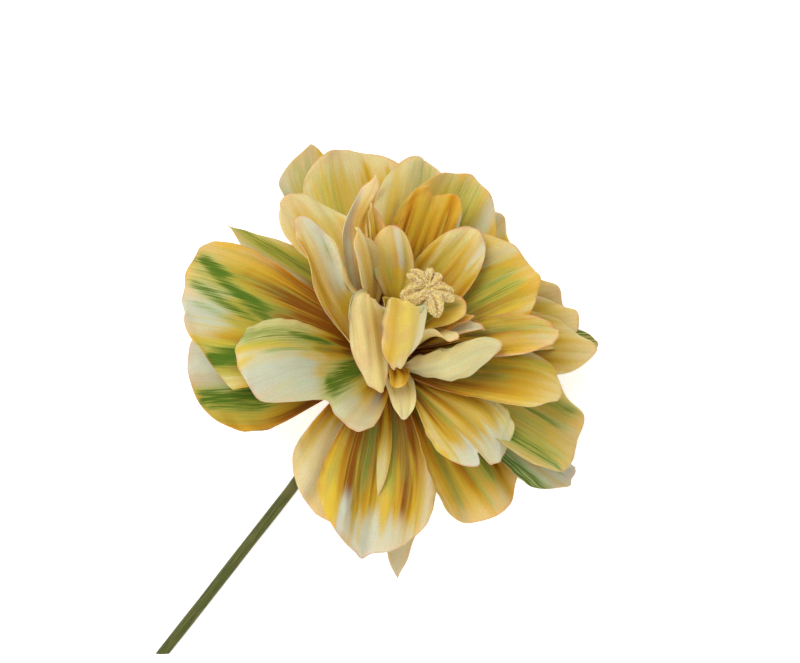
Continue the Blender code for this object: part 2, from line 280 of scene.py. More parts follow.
@dataclass(frozen=True)
class Brush:
    """How streaks are laid on a petal."""

    width: float = 1.4          # width of the soft edge, in the streak's own spreads
    wander: float = 0.014       # how far the finest variation moves a streak across
    taper: float = 0.4          # share of its width that a streak loses on its way
    rise: Pair = (-0.10, 0.10)  # places about its start between which it comes up
    fall: Pair = (-0.07, 0.05)  # places about its stop between which it goes
    ragged: Pair = (0.04, 0.03)     # how far the finest variation moves its start and its stop
    mottle: float = 0.12        # how far the finest variation changes its strength

    def stroke(self, streak: Streak, along: np.ndarray, across: np.ndarray,
               fine: np.ndarray) -> np.ndarray:
        """Lay one streak.

        Args:
            streak: The streak.
            along: Places along the petal.
            across: Places across the petal.
            fine: The finest variation at those places.

        Returns:
            How much of the streak lies at each place, from 0 to 1.
        """
        part = (along - streak.start) / (streak.stop - streak.start)
        place = across - streak.first - (streak.last - streak.first) * part + self.wander * fine
        taper = 1.0 - self.taper * np.clip(part, 0.0, 1.0)
        mass = np.exp(-np.abs(place / (self.width * streak.spread * taper))**2.0)
        mass = mass * smooth_step(*self.rise, along - streak.start + self.ragged[0] * fine)
        mass = mass * (1.0 - smooth_step(*self.fall, along - streak.stop - self.ragged[1] * fine))
        return np.clip(mass * streak.strength * (1.0 + self.mottle * fine), 0.0, 1.0)


@dataclass(frozen=True)
class Paint:
    """How a petal is coloured: deep at its root, pale at its margin, with streaks along its veins."""

    deep: Pair = (0.15, 0.7)    # where the deep colour starts to fade and where it has faded; at the root it holds painted shade
    body: float = 0.36          # what is left beyond, from 0 cream to 1 amber
    fingers: float = 0.22       # how far the deep colour runs on along some veins
    pale: float = 0.34          # how much paler the margin is
    veins: float = 0.5          # strength of the fine coloured lines
    rim: float = 0.35           # strength of the pink line on the margin
    streaks: tuple[Streak, ...] = ()
    clouds: float = 0.10        # strength of the slow changes of depth
    pale_sides: Pair = (0.62, 1.0)  # places across between which the margin pales
    pale_end: Pair = (0.76, 1.0)    # shares of the way to the end between which it pales
    pale_foot: Pair = (0.25, 0.6)   # places along between which the sides begin to pale


@dataclass(frozen=True)
class Shape:
    """A petal's shape. A place is its turn round the axis, its reach from it and its rise along it."""

    tip: Triple
    lean: float                 # angle from the axis where the petal leaves the receptacle
    curl: float                 # angle from the axis at the tip
    width: float
    cup: Pair = (40, 20)        # how far each half bends up, at the root and at the tip
    end: Pair = (0.4, 2.0)      # share of the length that rounds off, and 1 for a point to 2 for an arc
    outline: tuple[Pair, ...] = ()  # places across and where they end along the petal, in place of end
    neck: float = 0.22          # share of the width at the root
    fill: float = 1.2           # how late the petal reaches its width
    root_turn: float | None = None
    over: Triple | None = None  # a place that the petal passes through on its way
    veer: float = 0.0           # turn of the tip's direction from its own side
    turned: Pair = (0, 0)       # roll about the midrib at the root, and what it gains by the tip
    pleat: Triple = (0, 1, 0)   # depth, number and phase of the lengthwise folds
    ruffle: Pair = (0, 1)       # height and number of the waves along the margin
    cuts: tuple[Triple, ...] = ()   # depth, place and spread of each cut in the end; below 0 it is a lobe
    skew: float = 0.0           # how much longer one half is than the other
    sides: Pair = (1, 1)        # share of the half width on the side below 0 and above 0
    ribs: Pair = (0.22, 4)      # depth and number of the shallow folds between veins
    flutter: Pair = (1.5, 4)    # height and number of the small waves round the margin
    rolled: Pair = (0, 0)       # how far the margin rolls in on the side below 0 and above 0
    roll_start: float = 0.62    # share of the half width where the roll starts
    jag: float = 0.009          # unevenness of the end
    sway: float = 1.3           # height of the slow, uneven bends of the blade


class Grain:
    """Smooth random variation over a petal that runs along its veins."""

    pitches: tuple[float, ...] = (1.0, 1.6, 2.3, 3.1, 4.3, 5.6, 7.1, 9.0)   # waves across the petal
    uneven: Pair = (0.7, 1.3)   # range of the share by which each of them is off
    drift: float = 1.6          # the most that a wave moves on its way along the petal
    height: float = 1.2         # what the sum of the waves is divided by

    def __init__(self, seed: int) -> None:
        """Draw the waves that the variation is the sum of.

        Args:
            seed: What the draw starts from.
        """
        draw = np.random.default_rng(seed)
        count = len(self.pitches)
        self.pitch = draw.uniform(*self.uneven, count) * np.array(self.pitches)
        self.phase = draw.uniform(0.0, 2 * math.pi, count)
        self.slide = draw.uniform(-self.drift, self.drift, count)

    def wave(self, across: np.ndarray, along: np.ndarray, first: int, last: int) -> np.ndarray:
        """Add up some of the waves.

        Args:
            across: Places across the petal.
            along: Places along the petal.
            first: The slowest wave to use.
            last: The wave to stop before.

        Returns:
            Values between about -1 and 1.
        """
        total = np.zeros(np.broadcast(across, along).shape)
        for k in range(first, last):
            total = total + np.sin(math.pi * self.pitch[k] * across + self.phase[k] + self.slide[k] * along)
        return total / math.sqrt(last - first) / self.height


def nearness(across: np.ndarray, share: np.ndarray, to_sides: int, to_end: int) -> np.ndarray:
    """How near each place is to the margin, from 0 to 1, the later the higher to_sides and to_end are."""
    return 1.0 - (1.0 - np.abs(across)**to_sides) * (1.0 - share**to_end)


def blade_faces(columns: int, rows: int) -> np.ndarray:
    """Join the points of a blade's front and back into one closed skin.

    Args:
        columns: Steps across the blade.
        rows: Steps along the blade.

    Returns:
        The four corners of each face, where the back's points follow the front's.
    """
    count = (rows + 1) * (columns + 1)
    index = np.arange(count).reshape(rows + 1, columns + 1)
    near, right = index[:-1, :-1].ravel(), index[:-1, 1:].ravel()
    far, opposite = index[1:, :-1].ravel(), index[1:, 1:].ravel()
    front = np.stack((near, far, opposite, right), axis=1)
    back = np.stack((near, right, opposite, far), axis=1) + count
    rim = np.concatenate((index[0, :], index[1:, -1], index[-1, -2::-1], index[-2:0:-1, 0]))
    following = np.roll(rim, -1)
    wall = np.stack((rim, following, following + count, rim + count), axis=1)
    return np.concatenate((front, back, wall))


@dataclass
class Petal:
    """One petal: a thin blade over a midrib, painted along its veins."""

    name: str
    shape: Shape
    paint: Paint
    whorl: Whorl = Whorl.OUTER
    seed: int = 0
    thickness: float = 0.55
    margin_thickness: float = 0.22
    clearance: float = 0.35     # height over the table at which a low petal levels off
    softness: float = 1.2       # how softly it does so
    crinkle: float = 0.45       # height of the finest crinkles on the margin
    crest_pull: float = 1.1     # how strongly the midrib is drawn on through the place it passes over
    roll_sets_in: Pair = (0.15, 0.6)    # places along the petal between which its margins start to roll
    bunching: float = 0.65      # how much closer the columns are at the margins
    outline_passes: int = 4     # rounds of smoothing on an outline that is given by places
    rib_steps: int = 96
    section_steps: int = 20
    vein_run: float = 0.06      # the petal's length on its UV map, in metres
    vein_shift: float = 0.2     # how far apart the petals lie on it
    vein_places: int = 17       # how many such places there are

    def midrib(self) -> np.ndarray:
        """Trace the line down the middle of the petal, from the receptacle to its tip.

        Returns:
            The line's points, before the flower is laid down.
        """
        shape = self.shape
        turn = self.root_turn()
        root = spot(turn, self.whorl.value.reach, self.whorl.value.rise)
        tip = spot(*shape.tip)
        leaving = slanted(turn, shape.lean)
        arriving = slanted(shape.tip[0] + shape.veer, shape.curl)
        if shape.over is None:
            chord = np.linalg.norm(tip - root)
            return even_steps(hermite(root, leaving * chord, tip, arriving * chord), self.rib_steps)
        crest = spot(*shape.over)
        first = np.linalg.norm(crest - root)
        second = np.linalg.norm(tip - crest)
        through = unit(tip - root) * self.crest_pull * min(first, second)
        rise = hermite(root, leaving * first, crest, through)
        fall = hermite(crest, through, tip, arriving * second)
        return even_steps(np.concatenate((rise, fall[1:])), self.rib_steps)

    def root_turn(self) -> float:
        """The turn round the axis at which the petal grows from the receptacle."""
        return self.shape.tip[0] if self.shape.root_turn is None else self.shape.root_turn

    def frames(self, rib: np.ndarray) -> tuple[np.ndarray, np.ndarray]:
        """Carry the petal's own directions along its midrib without twist.

        Args:
            rib: The midrib's points.

        Returns:
            The direction across and the direction of the inner face at each point.
        """
        tangents = unit(np.gradient(rib, axis=0))
        side = np.cross((0.0, 0.0, 1.0), outward(self.root_turn()))
        sides = []
        for tangent in tangents:
            side = side - side.dot(tangent) * tangent
            side = side / np.linalg.norm(side)
            sides.append(side)
        carried = np.array(sides)
        return carried, np.cross(tangents, carried)

    def reach_of_end(self, across: np.ndarray, grain: Grain) -> np.ndarray:
        """Find the share of the midrib's length at which the petal ends.

        Args:
            across: Places across the petal.
            grain: The petal's own variation.

        Returns:
            The share for each of the places.
        """
        share, power = self.shape.end
        ends = 1.0 - share * (1.0 - np.sqrt(np.clip(1.0 - np.abs(across)**power, 0.0, 1.0)))
        if self.shape.outline:
            places, shares = np.array(self.shape.outline).T
            ends = np.interp(across, places, shares)
            for _ in range(self.outline_passes):
                ends[1:-1] = (ends[:-2] + 2.0 * ends[1:-1] + ends[2:]) / 4.0
        ends = ends * (1.0 + self.shape.skew * across)
        ends = ends + self.shape.jag * grain.wave(across, np.zeros(1), 1, 5) * (1.0 - across**6)
        for depth, middle, spread in self.shape.cuts:
            ends = ends - depth * np.exp(-((across - middle) / spread)**2)
        return ends / max(1.0, float(ends.max()))

    def section(self, across: np.ndarray, along: np.ndarray,
                half: np.ndarray) -> tuple[np.ndarray, np.ndarray]:
        """Bend the petal's cross-section into a cup with rolled margins.

        Args:
            across: Places across the petal.
            along: Places along the petal.
            half: Half the petal's width at those places.

        Returns:
            How far each place is from the midrib sideways and inwards, in millimetres.
        """
        shape = self.shape
        cup = np.radians(shape.cup[0] + (shape.cup[1] - shape.cup[0]) * along)
        rolled = np.radians(np.where(across < 0, *shape.rolled)) * smooth_step(*self.roll_sets_in, along)
        out = np.zeros_like(along)
        up = np.zeros_like(along)
        for step in range(self.section_steps):
            place = across * (step + 0.5) / self.section_steps
            edge = np.clip((np.abs(place) - shape.roll_start) / (1.0 - shape.roll_start), 0.0, 1.0)
            bend = cup * place + rolled * np.sign(place) * edge
            out += np.cos(bend) * across * half / self.section_steps
            up += np.sin(bend) * across * half / self.section_steps
        return out, up

    def relief(self, across: np.ndarray, along: np.ndarray, edge: np.ndarray, grain: Grain) -> np.ndarray:
        """Work out the folds, ribs and waves that stand above the plain cup.

        Args:
            across: Places across the petal.
            along: Places along the petal.
            edge: Nearness to the margin, from 0 to 1.
            grain: The petal's own variation.

        Returns:
            The height of each place, in millimetres.
        """
        shape = self.shape
        broad = min(1.0, shape.width / BROAD)
        depth, folds, phase = shape.pleat
        pleats = depth * along**1.8 * np.sin(math.pi * folds * across + math.radians(phase))
        tall, waves = shape.ruffle
        beat = 2 * math.pi * waves * along + np.where(across < 0, 2.1, 0.0)  # the sides are out of step
        ruffles = tall * np.abs(across)**2.5 * np.sqrt(along) * np.sin(beat)
        deep, ribs = shape.ribs
        ridge = np.sin(math.pi * ribs * across + grain.phase[0]) + 0.6 * grain.wave(across, along, 2, 6)
        ribbing = deep * broad * smooth_step(0.05, 0.5, along) * (1.0 - 0.5 * edge) * ridge
        slow = grain.wave(across + 0.3 * along, 1.5 * along, 0, 3)
        bends = 1.5 * shape.sway * broad * smooth_step(0.15, 0.9, along) * slow
        quick = grain.wave(0.6 * across + 2.2 * along * np.sign(across), 3.0 * along, 4, 8)
        crinkles = self.crinkle * broad * edge**3 * smooth_step(0.2, 0.6, along) * quick
        lift, beats = shape.flutter
        round_margin = beats * np.arctan2(across * 0.8, along - 0.35)
        wave = np.sin(round_margin + grain.phase[1]) + 0.5 * np.sin(2.3 * round_margin + grain.phase[2])
        flutter = lift * (0.4 + 0.6 * broad) * edge**1.6 * smooth_step(0.1, 0.5, along) * wave
        return pleats + ruffles + ribbing + bends + crinkles + flutter

    def surface(self, columns: int, rows: int,
                grain: Grain) -> tuple[np.ndarray, np.ndarray, np.ndarray]:
        """Lay out the middle of the blade.

        Args:
            columns: Steps across the petal.
            rows: Steps along the petal.
            grain: The petal's own variation.

        Returns:
            The points by row and column, and their places along and across the petal.
        """
        shape = self.shape
        rib = self.midrib()
        sides, inners = self.frames(rib)
        even = np.linspace(-1.0, 1.0, columns + 1)
        spaced = (1.0 - self.bunching) * even + self.bunching * np.sin(even * math.pi / 2)
        share = np.linspace(0.0, 1.0, rows + 1)[:, None]
        along = np.clip(share * self.reach_of_end(spaced, grain)[None, :], 0.0, 1.0)
        across = np.broadcast_to(spaced, along.shape).copy()
        grown = np.clip(along / (1.0 - shape.end[0]), 0.0, 1.0)
        half = shape.width / 2 * (shape.neck + (1 - shape.neck) * np.sin(grown * math.pi / 2)**shape.fill)
        half = half * np.where(across < 0, *shape.sides)
        out, up = self.section(across, along, half)
        edge = nearness(across, share, 3, 7)
        up = up + self.relief(across, along, edge, grain)
        roll = np.radians(shape.turned[0] + shape.turned[1] * along)
        low = np.clip(np.floor(along * self.rib_steps).astype(int), 0, self.rib_steps - 1)
        part = (along * self.rib_steps - low)[..., None]
        middle, side, inner = (values[low] * (1 - part) + values[low + 1] * part
                               for values in (rib, sides, inners))
        sideways = out * np.cos(roll) - up * np.sin(roll)
        inwards = out * np.sin(roll) + up * np.cos(roll)
        return middle + sideways[..., None] * side + inwards[..., None] * inner, along, across

    def colours(self, along: np.ndarray, across: np.ndarray, share: np.ndarray,
                grain: Grain) -> np.ndarray:
        """Work out how much of each tint lies where.

        Args:
            along: Places along the petal.
            across: Places across the petal.
            share: Each row's share of the way to the petal's end.
            grain: The petal's own variation.

        Returns:
            Depth of colour from cream to amber, and amounts of yellow, green and white.
        """
        paint = self.paint
        wander = grain.wave(across, along, 2, 6)
        fine = grain.wave(across, along, 5, 8)
        reach = along - paint.fingers * wander
        depth = paint.body + (1.0 - paint.body) * (1.0 - smooth_step(*paint.deep, reach))
        depth = depth + paint.clouds * grain.wave(across, along, 0, 4) * smooth_step(0.3, 0.7, along)
        at_sides = smooth_step(*paint.pale_sides, np.abs(across) + 0.05 * fine)
        at_sides = at_sides * smooth_step(*paint.pale_foot, along)
        margin = np.maximum(at_sides, smooth_step(*paint.pale_end, share + 0.04 * fine))
        depth = depth - paint.pale * margin
        amounts = np.zeros((*along.shape, len(Tint)))
        amounts[..., Tint.AMBER.value] = np.clip(depth, 0.0, 1.0)
        brush = Brush()
        for streak in paint.streaks:
            channel = streak.tint.value
            stroke = brush.stroke(streak, along, across, fine)
            amounts[..., channel] = np.maximum(amounts[..., channel], stroke)
        return amounts

    def grid_size(self) -> tuple[int, int]:
        """How many columns and rows the petal gets, by its width."""
        return next(size for least, size in GRIDS if self.shape.width >= least)

    def build(self, lie: Lie, finish: bpy.types.Material) -> bpy.types.Object:
        """Make the petal as a closed thin blade with its paint.

        Args:
            lie: How the flower lies.
            finish: The petal's material.

        Returns:
            The petal's object.
        """
        grain = Grain(self.seed)
        columns, rows = self.grid_size()
        middle, along, across = self.surface(columns, rows, grain)
        middle = lie.place(middle)
        height = middle[..., 2] - self.clearance
        middle[..., 2] = self.clearance + 0.5 * (height + np.sqrt(height**2 + self.softness))
        normals = unit(np.cross(np.gradient(middle, axis=0), np.gradient(middle, axis=1)))
        share = np.linspace(0.0, 1.0, rows + 1)[:, None]
        edge = nearness(across, share, 6, 12)
        wall = self.margin_thickness + (self.thickness - self.margin_thickness) * (1.0 - edge)
        front = middle + normals * wall[..., None] / 2
        back = middle - normals * wall[..., None] / 2
        points = np.concatenate((front.reshape(-1, 3), back.reshape(-1, 3))) * MM
        mesh = bpy.data.meshes.new(self.name)
        mesh.from_pydata(points.tolist(), [], blade_faces(columns, rows).tolist())
        self.store(mesh, along, across, share, self.colours(along, across, share, grain), middle)
        mesh.shade_smooth()
        return placed(mesh, finish)

    def store(self, mesh: bpy.types.Mesh, along: np.ndarray, across: np.ndarray, share: np.ndarray,
              amounts: np.ndarray, middle: np.ndarray) -> None:
        """Write the petal's UV map and attributes on its mesh.

        Args:
            mesh: The mesh, with its front vertices before its back ones.
            along: Places along the petal.
            across: Places across the petal.
            share: Each row's share of the way to the petal's end.
            amounts: How much of each tint lies where.
            middle: The points of the blade's middle, in millimetres.
        """
        half = self.shape.width / 2
        side_gap = (1.0 - np.abs(across)) * half
        end_gap = (1.0 - share) * np.linalg.norm(middle[-1] - middle[0], axis=-1)[None, :]
        gap = np.minimum(side_gap, end_gap).ravel()
        lines = self.paint.veins * smooth_step(0.10, 0.45, along) * (1.0 - smooth_step(0.72, 0.98, along))
        paint = mesh.attributes.new("paint", "FLOAT_COLOR", "POINT")
        paint.data.foreach_set("color", np.tile(amounts.reshape(-1, 4), (2, 1)).ravel())
        per_vertex(mesh, "gap", np.tile(gap, 2))
        per_vertex(mesh, "back", np.repeat((0.0, 1.0), gap.size))
        per_vertex(mesh, "rim", np.full(2 * gap.size, self.paint.rim))
        # darkening for the petal's ring: painted shade, together with duller skin
        per_vertex(mesh, "dull_and_shaded", np.full(2 * gap.size, self.whorl.value.shade_and_dullness))
        per_vertex(mesh, "lines", np.tile(lines.ravel(), 2))
        shift = self.vein_shift * (self.seed % self.vein_places)
        flat = np.stack((across.ravel() * half * MM, along.ravel() * self.vein_run + shift), axis=1)
        flat = np.tile(flat, (2, 1))
        layer = mesh.uv_layers.new(name="veins")
        corners = np.empty(len(mesh.loops), dtype=np.int64)
        mesh.loops.foreach_get("vertex_index", corners)
        layer.data.foreach_set("uv", flat[corners].ravel())


class Graph:
    """Short ways to add and join the nodes of a material."""

    def __init__(self, name: str) -> None:
        """Start a material with its own Principled shader.

        Args:
            name: The material's name.
        """
        self.material = bpy.data.materials.new(name)
        self.material.use_nodes = True
        self.tree = self.material.node_tree
        self.shader = self.tree.nodes["Principled BSDF"]

    def node(self, kind: str, **settings: object) -> bpy.types.ShaderNode:
        """Add a node.

        Args:
            kind: The node's type.
            **settings: The node's own properties.

        Returns:
            The node.
        """
        made = self.tree.nodes.new(kind)
        for name, value in settings.items():
            setattr(made, name, value)
        return made

    def feed(self, socket: bpy.types.NodeSocket, value: object) -> None:
        """Join a socket to another one, or set it to a plain value.

        Args:
            socket: The socket that takes the value.
            value: A socket, a number or a colour.
        """
        if isinstance(value, bpy.types.NodeSocket):
            self.tree.links.new(value, socket)
        elif socket.type == "RGBA":
            socket.default_value = (*value, 1.0)
        else:
            socket.default_value = value

    def attribute(self, name: str, output: str = "Fac") -> bpy.types.NodeSocket:
        """Read an attribute of the mesh."""
        return self.node("ShaderNodeAttribute", attribute_name=name).outputs[output]

    def math(self, operation: str, first: object, second: object,
             clamp: bool = False) -> bpy.types.NodeSocket:
        """Combine two numbers.

        Args:
            operation: What to do with them.
            first: The first number.
            second: The second number.
            clamp: Whether to keep the result between 0 and 1.

        Returns:
            The result.
        """
        made = self.node("ShaderNodeMath", operation=operation, use_clamp=clamp)
        self.feed(made.inputs[0], first)
        self.feed(made.inputs[1], second)
        return made.outputs[0]

    def product(self, first: object, second: object) -> bpy.types.NodeSocket:
        """Multiply two numbers."""
        return self.math("MULTIPLY", first, second)

    def total(self, first: object, second: object) -> bpy.types.NodeSocket:
        """Add two numbers."""
        return self.math("ADD", first, second)

    def swing(self, noise: bpy.types.NodeSocket, strength: float) -> bpy.types.NodeSocket:
        """Make noise vary about 0 instead of about a half, by a given strength."""
        return self.product(self.math("SUBTRACT", noise, 0.5), strength)

    def mix(self, share: object, first: object, second: object, blend: str = "MIX") -> bpy.types.NodeSocket:
        """Mix two colours.

        Args:
            share: How much of the second to use.
            first: The first colour.
            second: The second colour.
            blend: How they are mixed.

        Returns:
            The mixed colour.
        """
        made = self.node("ShaderNodeMix", data_type="RGBA", blend_type=blend)
        self.feed(made.inputs[0], share)
        self.feed(made.inputs[6], first)
        self.feed(made.inputs[7], second)
        return made.outputs[2]

    def fade(self, value: object, low: float, high: float, start: float = 0.0,
             stop: float = 1.0) -> bpy.types.NodeSocket:
        """Rise smoothly from start to stop as a value goes from low to high.

        Args:
            value: The value to look at.
            low: The value at which the rise starts.
            high: The value at which it ends.
            start: The result below low.
            stop: The result above high.

        Returns:
            The result.
        """
        made = self.node("ShaderNodeMapRange", interpolation_type="SMOOTHSTEP")
        for socket, entry in zip(made.inputs, (value, low, high, start, stop)):
            self.feed(socket, entry)
        return made.outputs[0]

    def noise(self, vector: bpy.types.NodeSocket, stretch: Triple, detail: float = 2.0,
              roughness: float = 0.5) -> bpy.types.NodeSocket:
        """Noise whose cells are stretched.

        Args:
            vector: The coordinates to read.
            stretch: Cells a metre along each of them.
            detail: Number of finer layers.
            roughness: Strength of the finer layers.

        Returns:
            A value that is mostly between 0.25 and 0.75.
        """
        scaled = self.node("ShaderNodeMapping")
        self.feed(scaled.inputs["Vector"], vector)
        scaled.inputs["Scale"].default_value = stretch
        made = self.node("ShaderNodeTexNoise")
        self.feed(made.inputs["Vector"], scaled.outputs[0])
        made.inputs["Scale"].default_value = 1.0
        made.inputs["Detail"].default_value = detail
        made.inputs["Roughness"].default_value = roughness
        return made.outputs["Fac"]

    def speckle(self, cells: float, detail: float = 2.0, roughness: float = 0.5) -> bpy.types.NodeSocket:
        """Noise over the object, with as many cells a metre every way."""
        place = self.node("ShaderNodeTexCoord").outputs["Object"]
        return self.noise(place, (cells, cells, cells), detail, roughness)

    def ramp(self, share: bpy.types.NodeSocket,
             stops: tuple[tuple[float, Triple], ...]) -> bpy.types.NodeSocket:
        """Look a value up in a row of colours.

        Args:
            share: The value to look up.
            stops: Places from 0 to 1, each with its colour.

        Returns:
            The colour.
        """
        made = self.node("ShaderNodeValToRGB")
        self.feed(made.inputs[0], share)
        elements = made.color_ramp.elements
        while len(elements) < len(stops):
            elements.new(0.5)
        for element, (where, colour) in zip(elements, stops):
            element.position = where
            element.color = (*colour, 1.0)
        return made.outputs[0]

    def bump(self, height: bpy.types.NodeSocket, strength: float, distance: float) -> bpy.types.NodeSocket:
        """Turn a height into a shading normal.

        Args:
            height: The height.
            strength: How much of it to use.
            distance: The height that 1 stands for, in metres.

        Returns:
            The normal.
        """
        made = self.node("ShaderNodeBump")
        made.inputs["Strength"].default_value = strength
        made.inputs["Distance"].default_value = distance
        self.feed(made.inputs["Height"], height)
        return made.outputs[0]

    def dress(self, colour: object, normal: bpy.types.NodeSocket | None = None,
              **values: object) -> bpy.types.Material:
        """Feed the shader and return the finished material.

        Args:
            colour: The base colour.
            normal: The shading normal.
            **values: Plain values of the shader's other sockets, with _ for a space.

        Returns:
            The material.
        """
        self.feed(self.shader.inputs["Base Color"], colour)
        if normal is not None:
            self.feed(self.shader.inputs["Normal"], normal)
        for name, value in values.items():
            self.shader.inputs[name.replace("_", " ")].default_value = value
        return self.material


@dataclass(frozen=True)
class PetalFinish:
    """Soft petal skin: deep amber to cream along its veins, with coloured streaks and a pink margin, and
    painted shade at the roots and on the outer rings.
    """

    name: str = "petal_skin"
    cream: Triple = (0.77, 0.67, 0.32)
    straw: Triple = (0.72, 0.52, 0.115)
    gold: Triple = (0.64, 0.405, 0.030)
    amber: Triple = (0.52, 0.25, 0.010)
    # the colour at the petals' roots: a deeper amber, with painted shade in it
    deep_amber_and_shade: Triple = (0.27, 0.080, 0.003)
    yellow: Triple = (0.76, 0.57, 0.050)
    orange: Triple = (0.68, 0.32, 0.025)
    olive: Triple = (0.40, 0.38, 0.060)
    light_green: Triple = (0.34, 0.49, 0.105)
    deep_green: Triple = (0.095, 0.195, 0.012)
    white: Triple = (0.66, 0.71, 0.55)
    pink: Triple = (0.64, 0.32, 0.18)
    back: Triple = (0.74, 0.62, 0.27)
    back_share: float = 0.4     # how far the outer face is that colour
    shade_and_dullness: Triple = (0.44, 0.48, 0.42)   # what the most darkened skin is multiplied by: painted shade on the outer rings, together with their duller skin
    feather: float = 0.55       # how raggedly the streaks end between the veins
    weave_cells: float = 2600.0
    patch_cells: float = 160.0
    bump_height: float = 0.0003
    roughness: float = 0.62
    translucence: float = 0.5
    scatter: float = 0.0011     # how far light wanders in the petal, in metres
    gloss: float = 0.08

    def build(self) -> bpy.types.Material:
        """Make the material.

        Returns:
            The material.
        """
        graph = Graph(self.name)
        veins = graph.node("ShaderNodeUVMap", uv_map="veins").outputs[0]
        fine = graph.noise(veins, (1700.0, 60.0, 1.0), 3.0, 0.6)
        broad = graph.noise(veins, (480.0, 26.0, 1.0))
        first = graph.noise(veins, (760.0, 18.0, 5.0), 2.0, 0.55)
        second = graph.noise(veins, (640.0, 15.0, 9.0), 2.0, 0.55)
        weave = graph.speckle(self.weave_cells, 2.0, 0.6)
        patches = graph.speckle(self.patch_cells)
        paint = graph.node("ShaderNodeSeparateColor")
        source = graph.node("ShaderNodeAttribute", attribute_name="paint")
        graph.feed(paint.inputs[0], source.outputs["Color"])
        depth, sun, leaf = paint.outputs
        snow = source.outputs["Alpha"]
        lines = graph.attribute("lines")
        rim = graph.attribute("rim")

        spread = graph.total(graph.swing(fine, 0.24), graph.swing(broad, 0.26))
        # depth 1, at the roots, is a deeper amber with painted shade
        colour = graph.ramp(graph.math("ADD", depth, spread, True),
                            ((0.0, self.cream), (0.28, self.straw), (0.55, self.gold), (0.8, self.amber),
                             (1.0, self.deep_amber_and_shade)))
        for pattern, low, high, most, tint in ((first, 0.50, 0.72, 1.0, self.yellow),
                                               (second, 0.54, 0.74, 0.7, self.orange),
                                               (second, 0.46, 0.28, 0.55, self.olive)):
            share = graph.product(lines, graph.fade(pattern, low, high, 0.0, most))
            colour = graph.mix(share, colour, tint)

        feather = graph.swing(fine, self.feather)
        colour = graph.mix(graph.fade(graph.total(snow, feather), 0.10, 1.0), colour, self.white)
        colour = graph.mix(graph.fade(graph.total(sun, feather), 0.12, 1.0), colour, self.yellow)
        veined = graph.product(leaf, graph.fade(fine, 0.30, 0.62, 0.68, 1.05))
        leafy = graph.fade(graph.total(veined, feather), 0.02, 0.92)
        greens = graph.mix(graph.fade(leafy, 0.38, 1.05), self.light_green, self.deep_green)
        colour = graph.mix(leafy, colour, greens)

        near = graph.fade(graph.attribute("gap"), 0.15, 0.7, 1.0, 0.0)
        line = graph.product(near, graph.product(rim, graph.fade(patches, 0.3, 0.65)))
        blush = graph.product(graph.math("POWER", rim, 2.5), graph.fade(patches, 0.45, 0.75, 0.04, 0.30))
        for share, tint in ((line, self.pink), (blush, self.pink),
                            (graph.product(graph.attribute("back"), self.back_share), self.back)):
            colour = graph.mix(share, colour, tint)
        # the outer rings darkened by painted shade, together with their duller skin
        colour = graph.mix(graph.attribute("dull_and_shaded"), colour, self.shade_and_dullness, "MULTIPLY")

        shade = graph.fade(weave, 0.2, 0.8, 0.90, 1.06)
        tone = graph.node("ShaderNodeCombineColor")
        for socket in tone.inputs:
            graph.feed(socket, shade)
        colour = graph.mix(1.0, colour, tone.outputs[0], "MULTIPLY")
        relief = graph.total(fine, graph.product(weave, 0.25))
        return graph.dress(colour, graph.bump(relief, 0.35, self.bump_height), Roughness=self.roughness,
                           Subsurface_Weight=self.translucence, Subsurface_Scale=self.scatter,
                           Specular_IOR_Level=self.gloss)


@dataclass(frozen=True)
class FleshFinish:
    """Smooth green flesh that turns yellow upwards, for the ovary and the receptacle."""

    name: str = "green_flesh"
    low: Triple = (0.17, 0.26, 0.05)
    high: Triple = (0.42, 0.42, 0.10)
    mottle_cells: float = 420.0
    mottle_strength: float = 0.5
    bump_height: float = 0.0002
    roughness: float = 0.45
    translucence: float = 0.15
    scatter: float = 0.001

    def build(self) -> bpy.types.Material:
        """Make the material.

        Returns:
            The material.
        """
        graph = Graph(self.name)
        mottle = graph.speckle(self.mottle_cells, 3.0, 0.55)
        rise = graph.total(graph.attribute("rise"), graph.swing(mottle, self.mottle_strength))
        colour = graph.mix(graph.fade(rise, 0.0, 1.0), self.low, self.high)
        return graph.dress(colour, graph.bump(mottle, 0.3, self.bump_height), Roughness=self.roughness,
                           Subsurface_Weight=self.translucence, Subsurface_Scale=self.scatter)


@dataclass(frozen=True)
class PollenFinish:
    """Waxy cream-yellow stigma with pale grains and a few brown ones."""

    name: str = "pollen"
    wax: Triple = (0.72, 0.50, 0.09)
    pale: Triple = (0.77, 0.61, 0.25)
    bright: Triple = (0.88, 0.78, 0.48)
    brown: Triple = (0.36, 0.15, 0.07)
    # painted shade down each lobe's fold and between the lobes
    fold: Triple = (0.36, 0.17, 0.06)
    mottle_cells: float = 900.0
    bump_height: float = 0.0003
    wax_roughness: float = 0.55
    grain_roughness: float = 0.7
    translucence: float = 0.2
    scatter: float = 0.001

    def build_wax(self) -> bpy.types.Material:
        """Make the material of the crown under the grains.

        Returns:
            The material.
        """
        graph = Graph(self.name + "_wax")
        mottle = graph.speckle(self.mottle_cells, 3.0, 0.6)
        colour = graph.mix(graph.fade(mottle, 0.35, 0.7), self.wax, self.pale)
        # painted shade in the folds
        colour = graph.mix(graph.attribute("crease_shade"), colour, self.fold)
        return graph.dress(colour, graph.bump(mottle, 0.5, self.bump_height), Roughness=self.wax_roughness,
                           Subsurface_Weight=self.translucence, Subsurface_Scale=self.scatter)

    def build_grains(self) -> bpy.types.Material:
        """Make the material of the grains.

        Returns:
            The material.
        """
        graph = Graph(self.name + "_grains")
        colour = graph.ramp(graph.attribute("tone"),
                            ((0.0, self.brown), (0.16, self.brown), (0.28, self.wax), (0.65, self.pale),
                             (1.0, self.bright)))
        return graph.dress(colour, Roughness=self.grain_roughness)


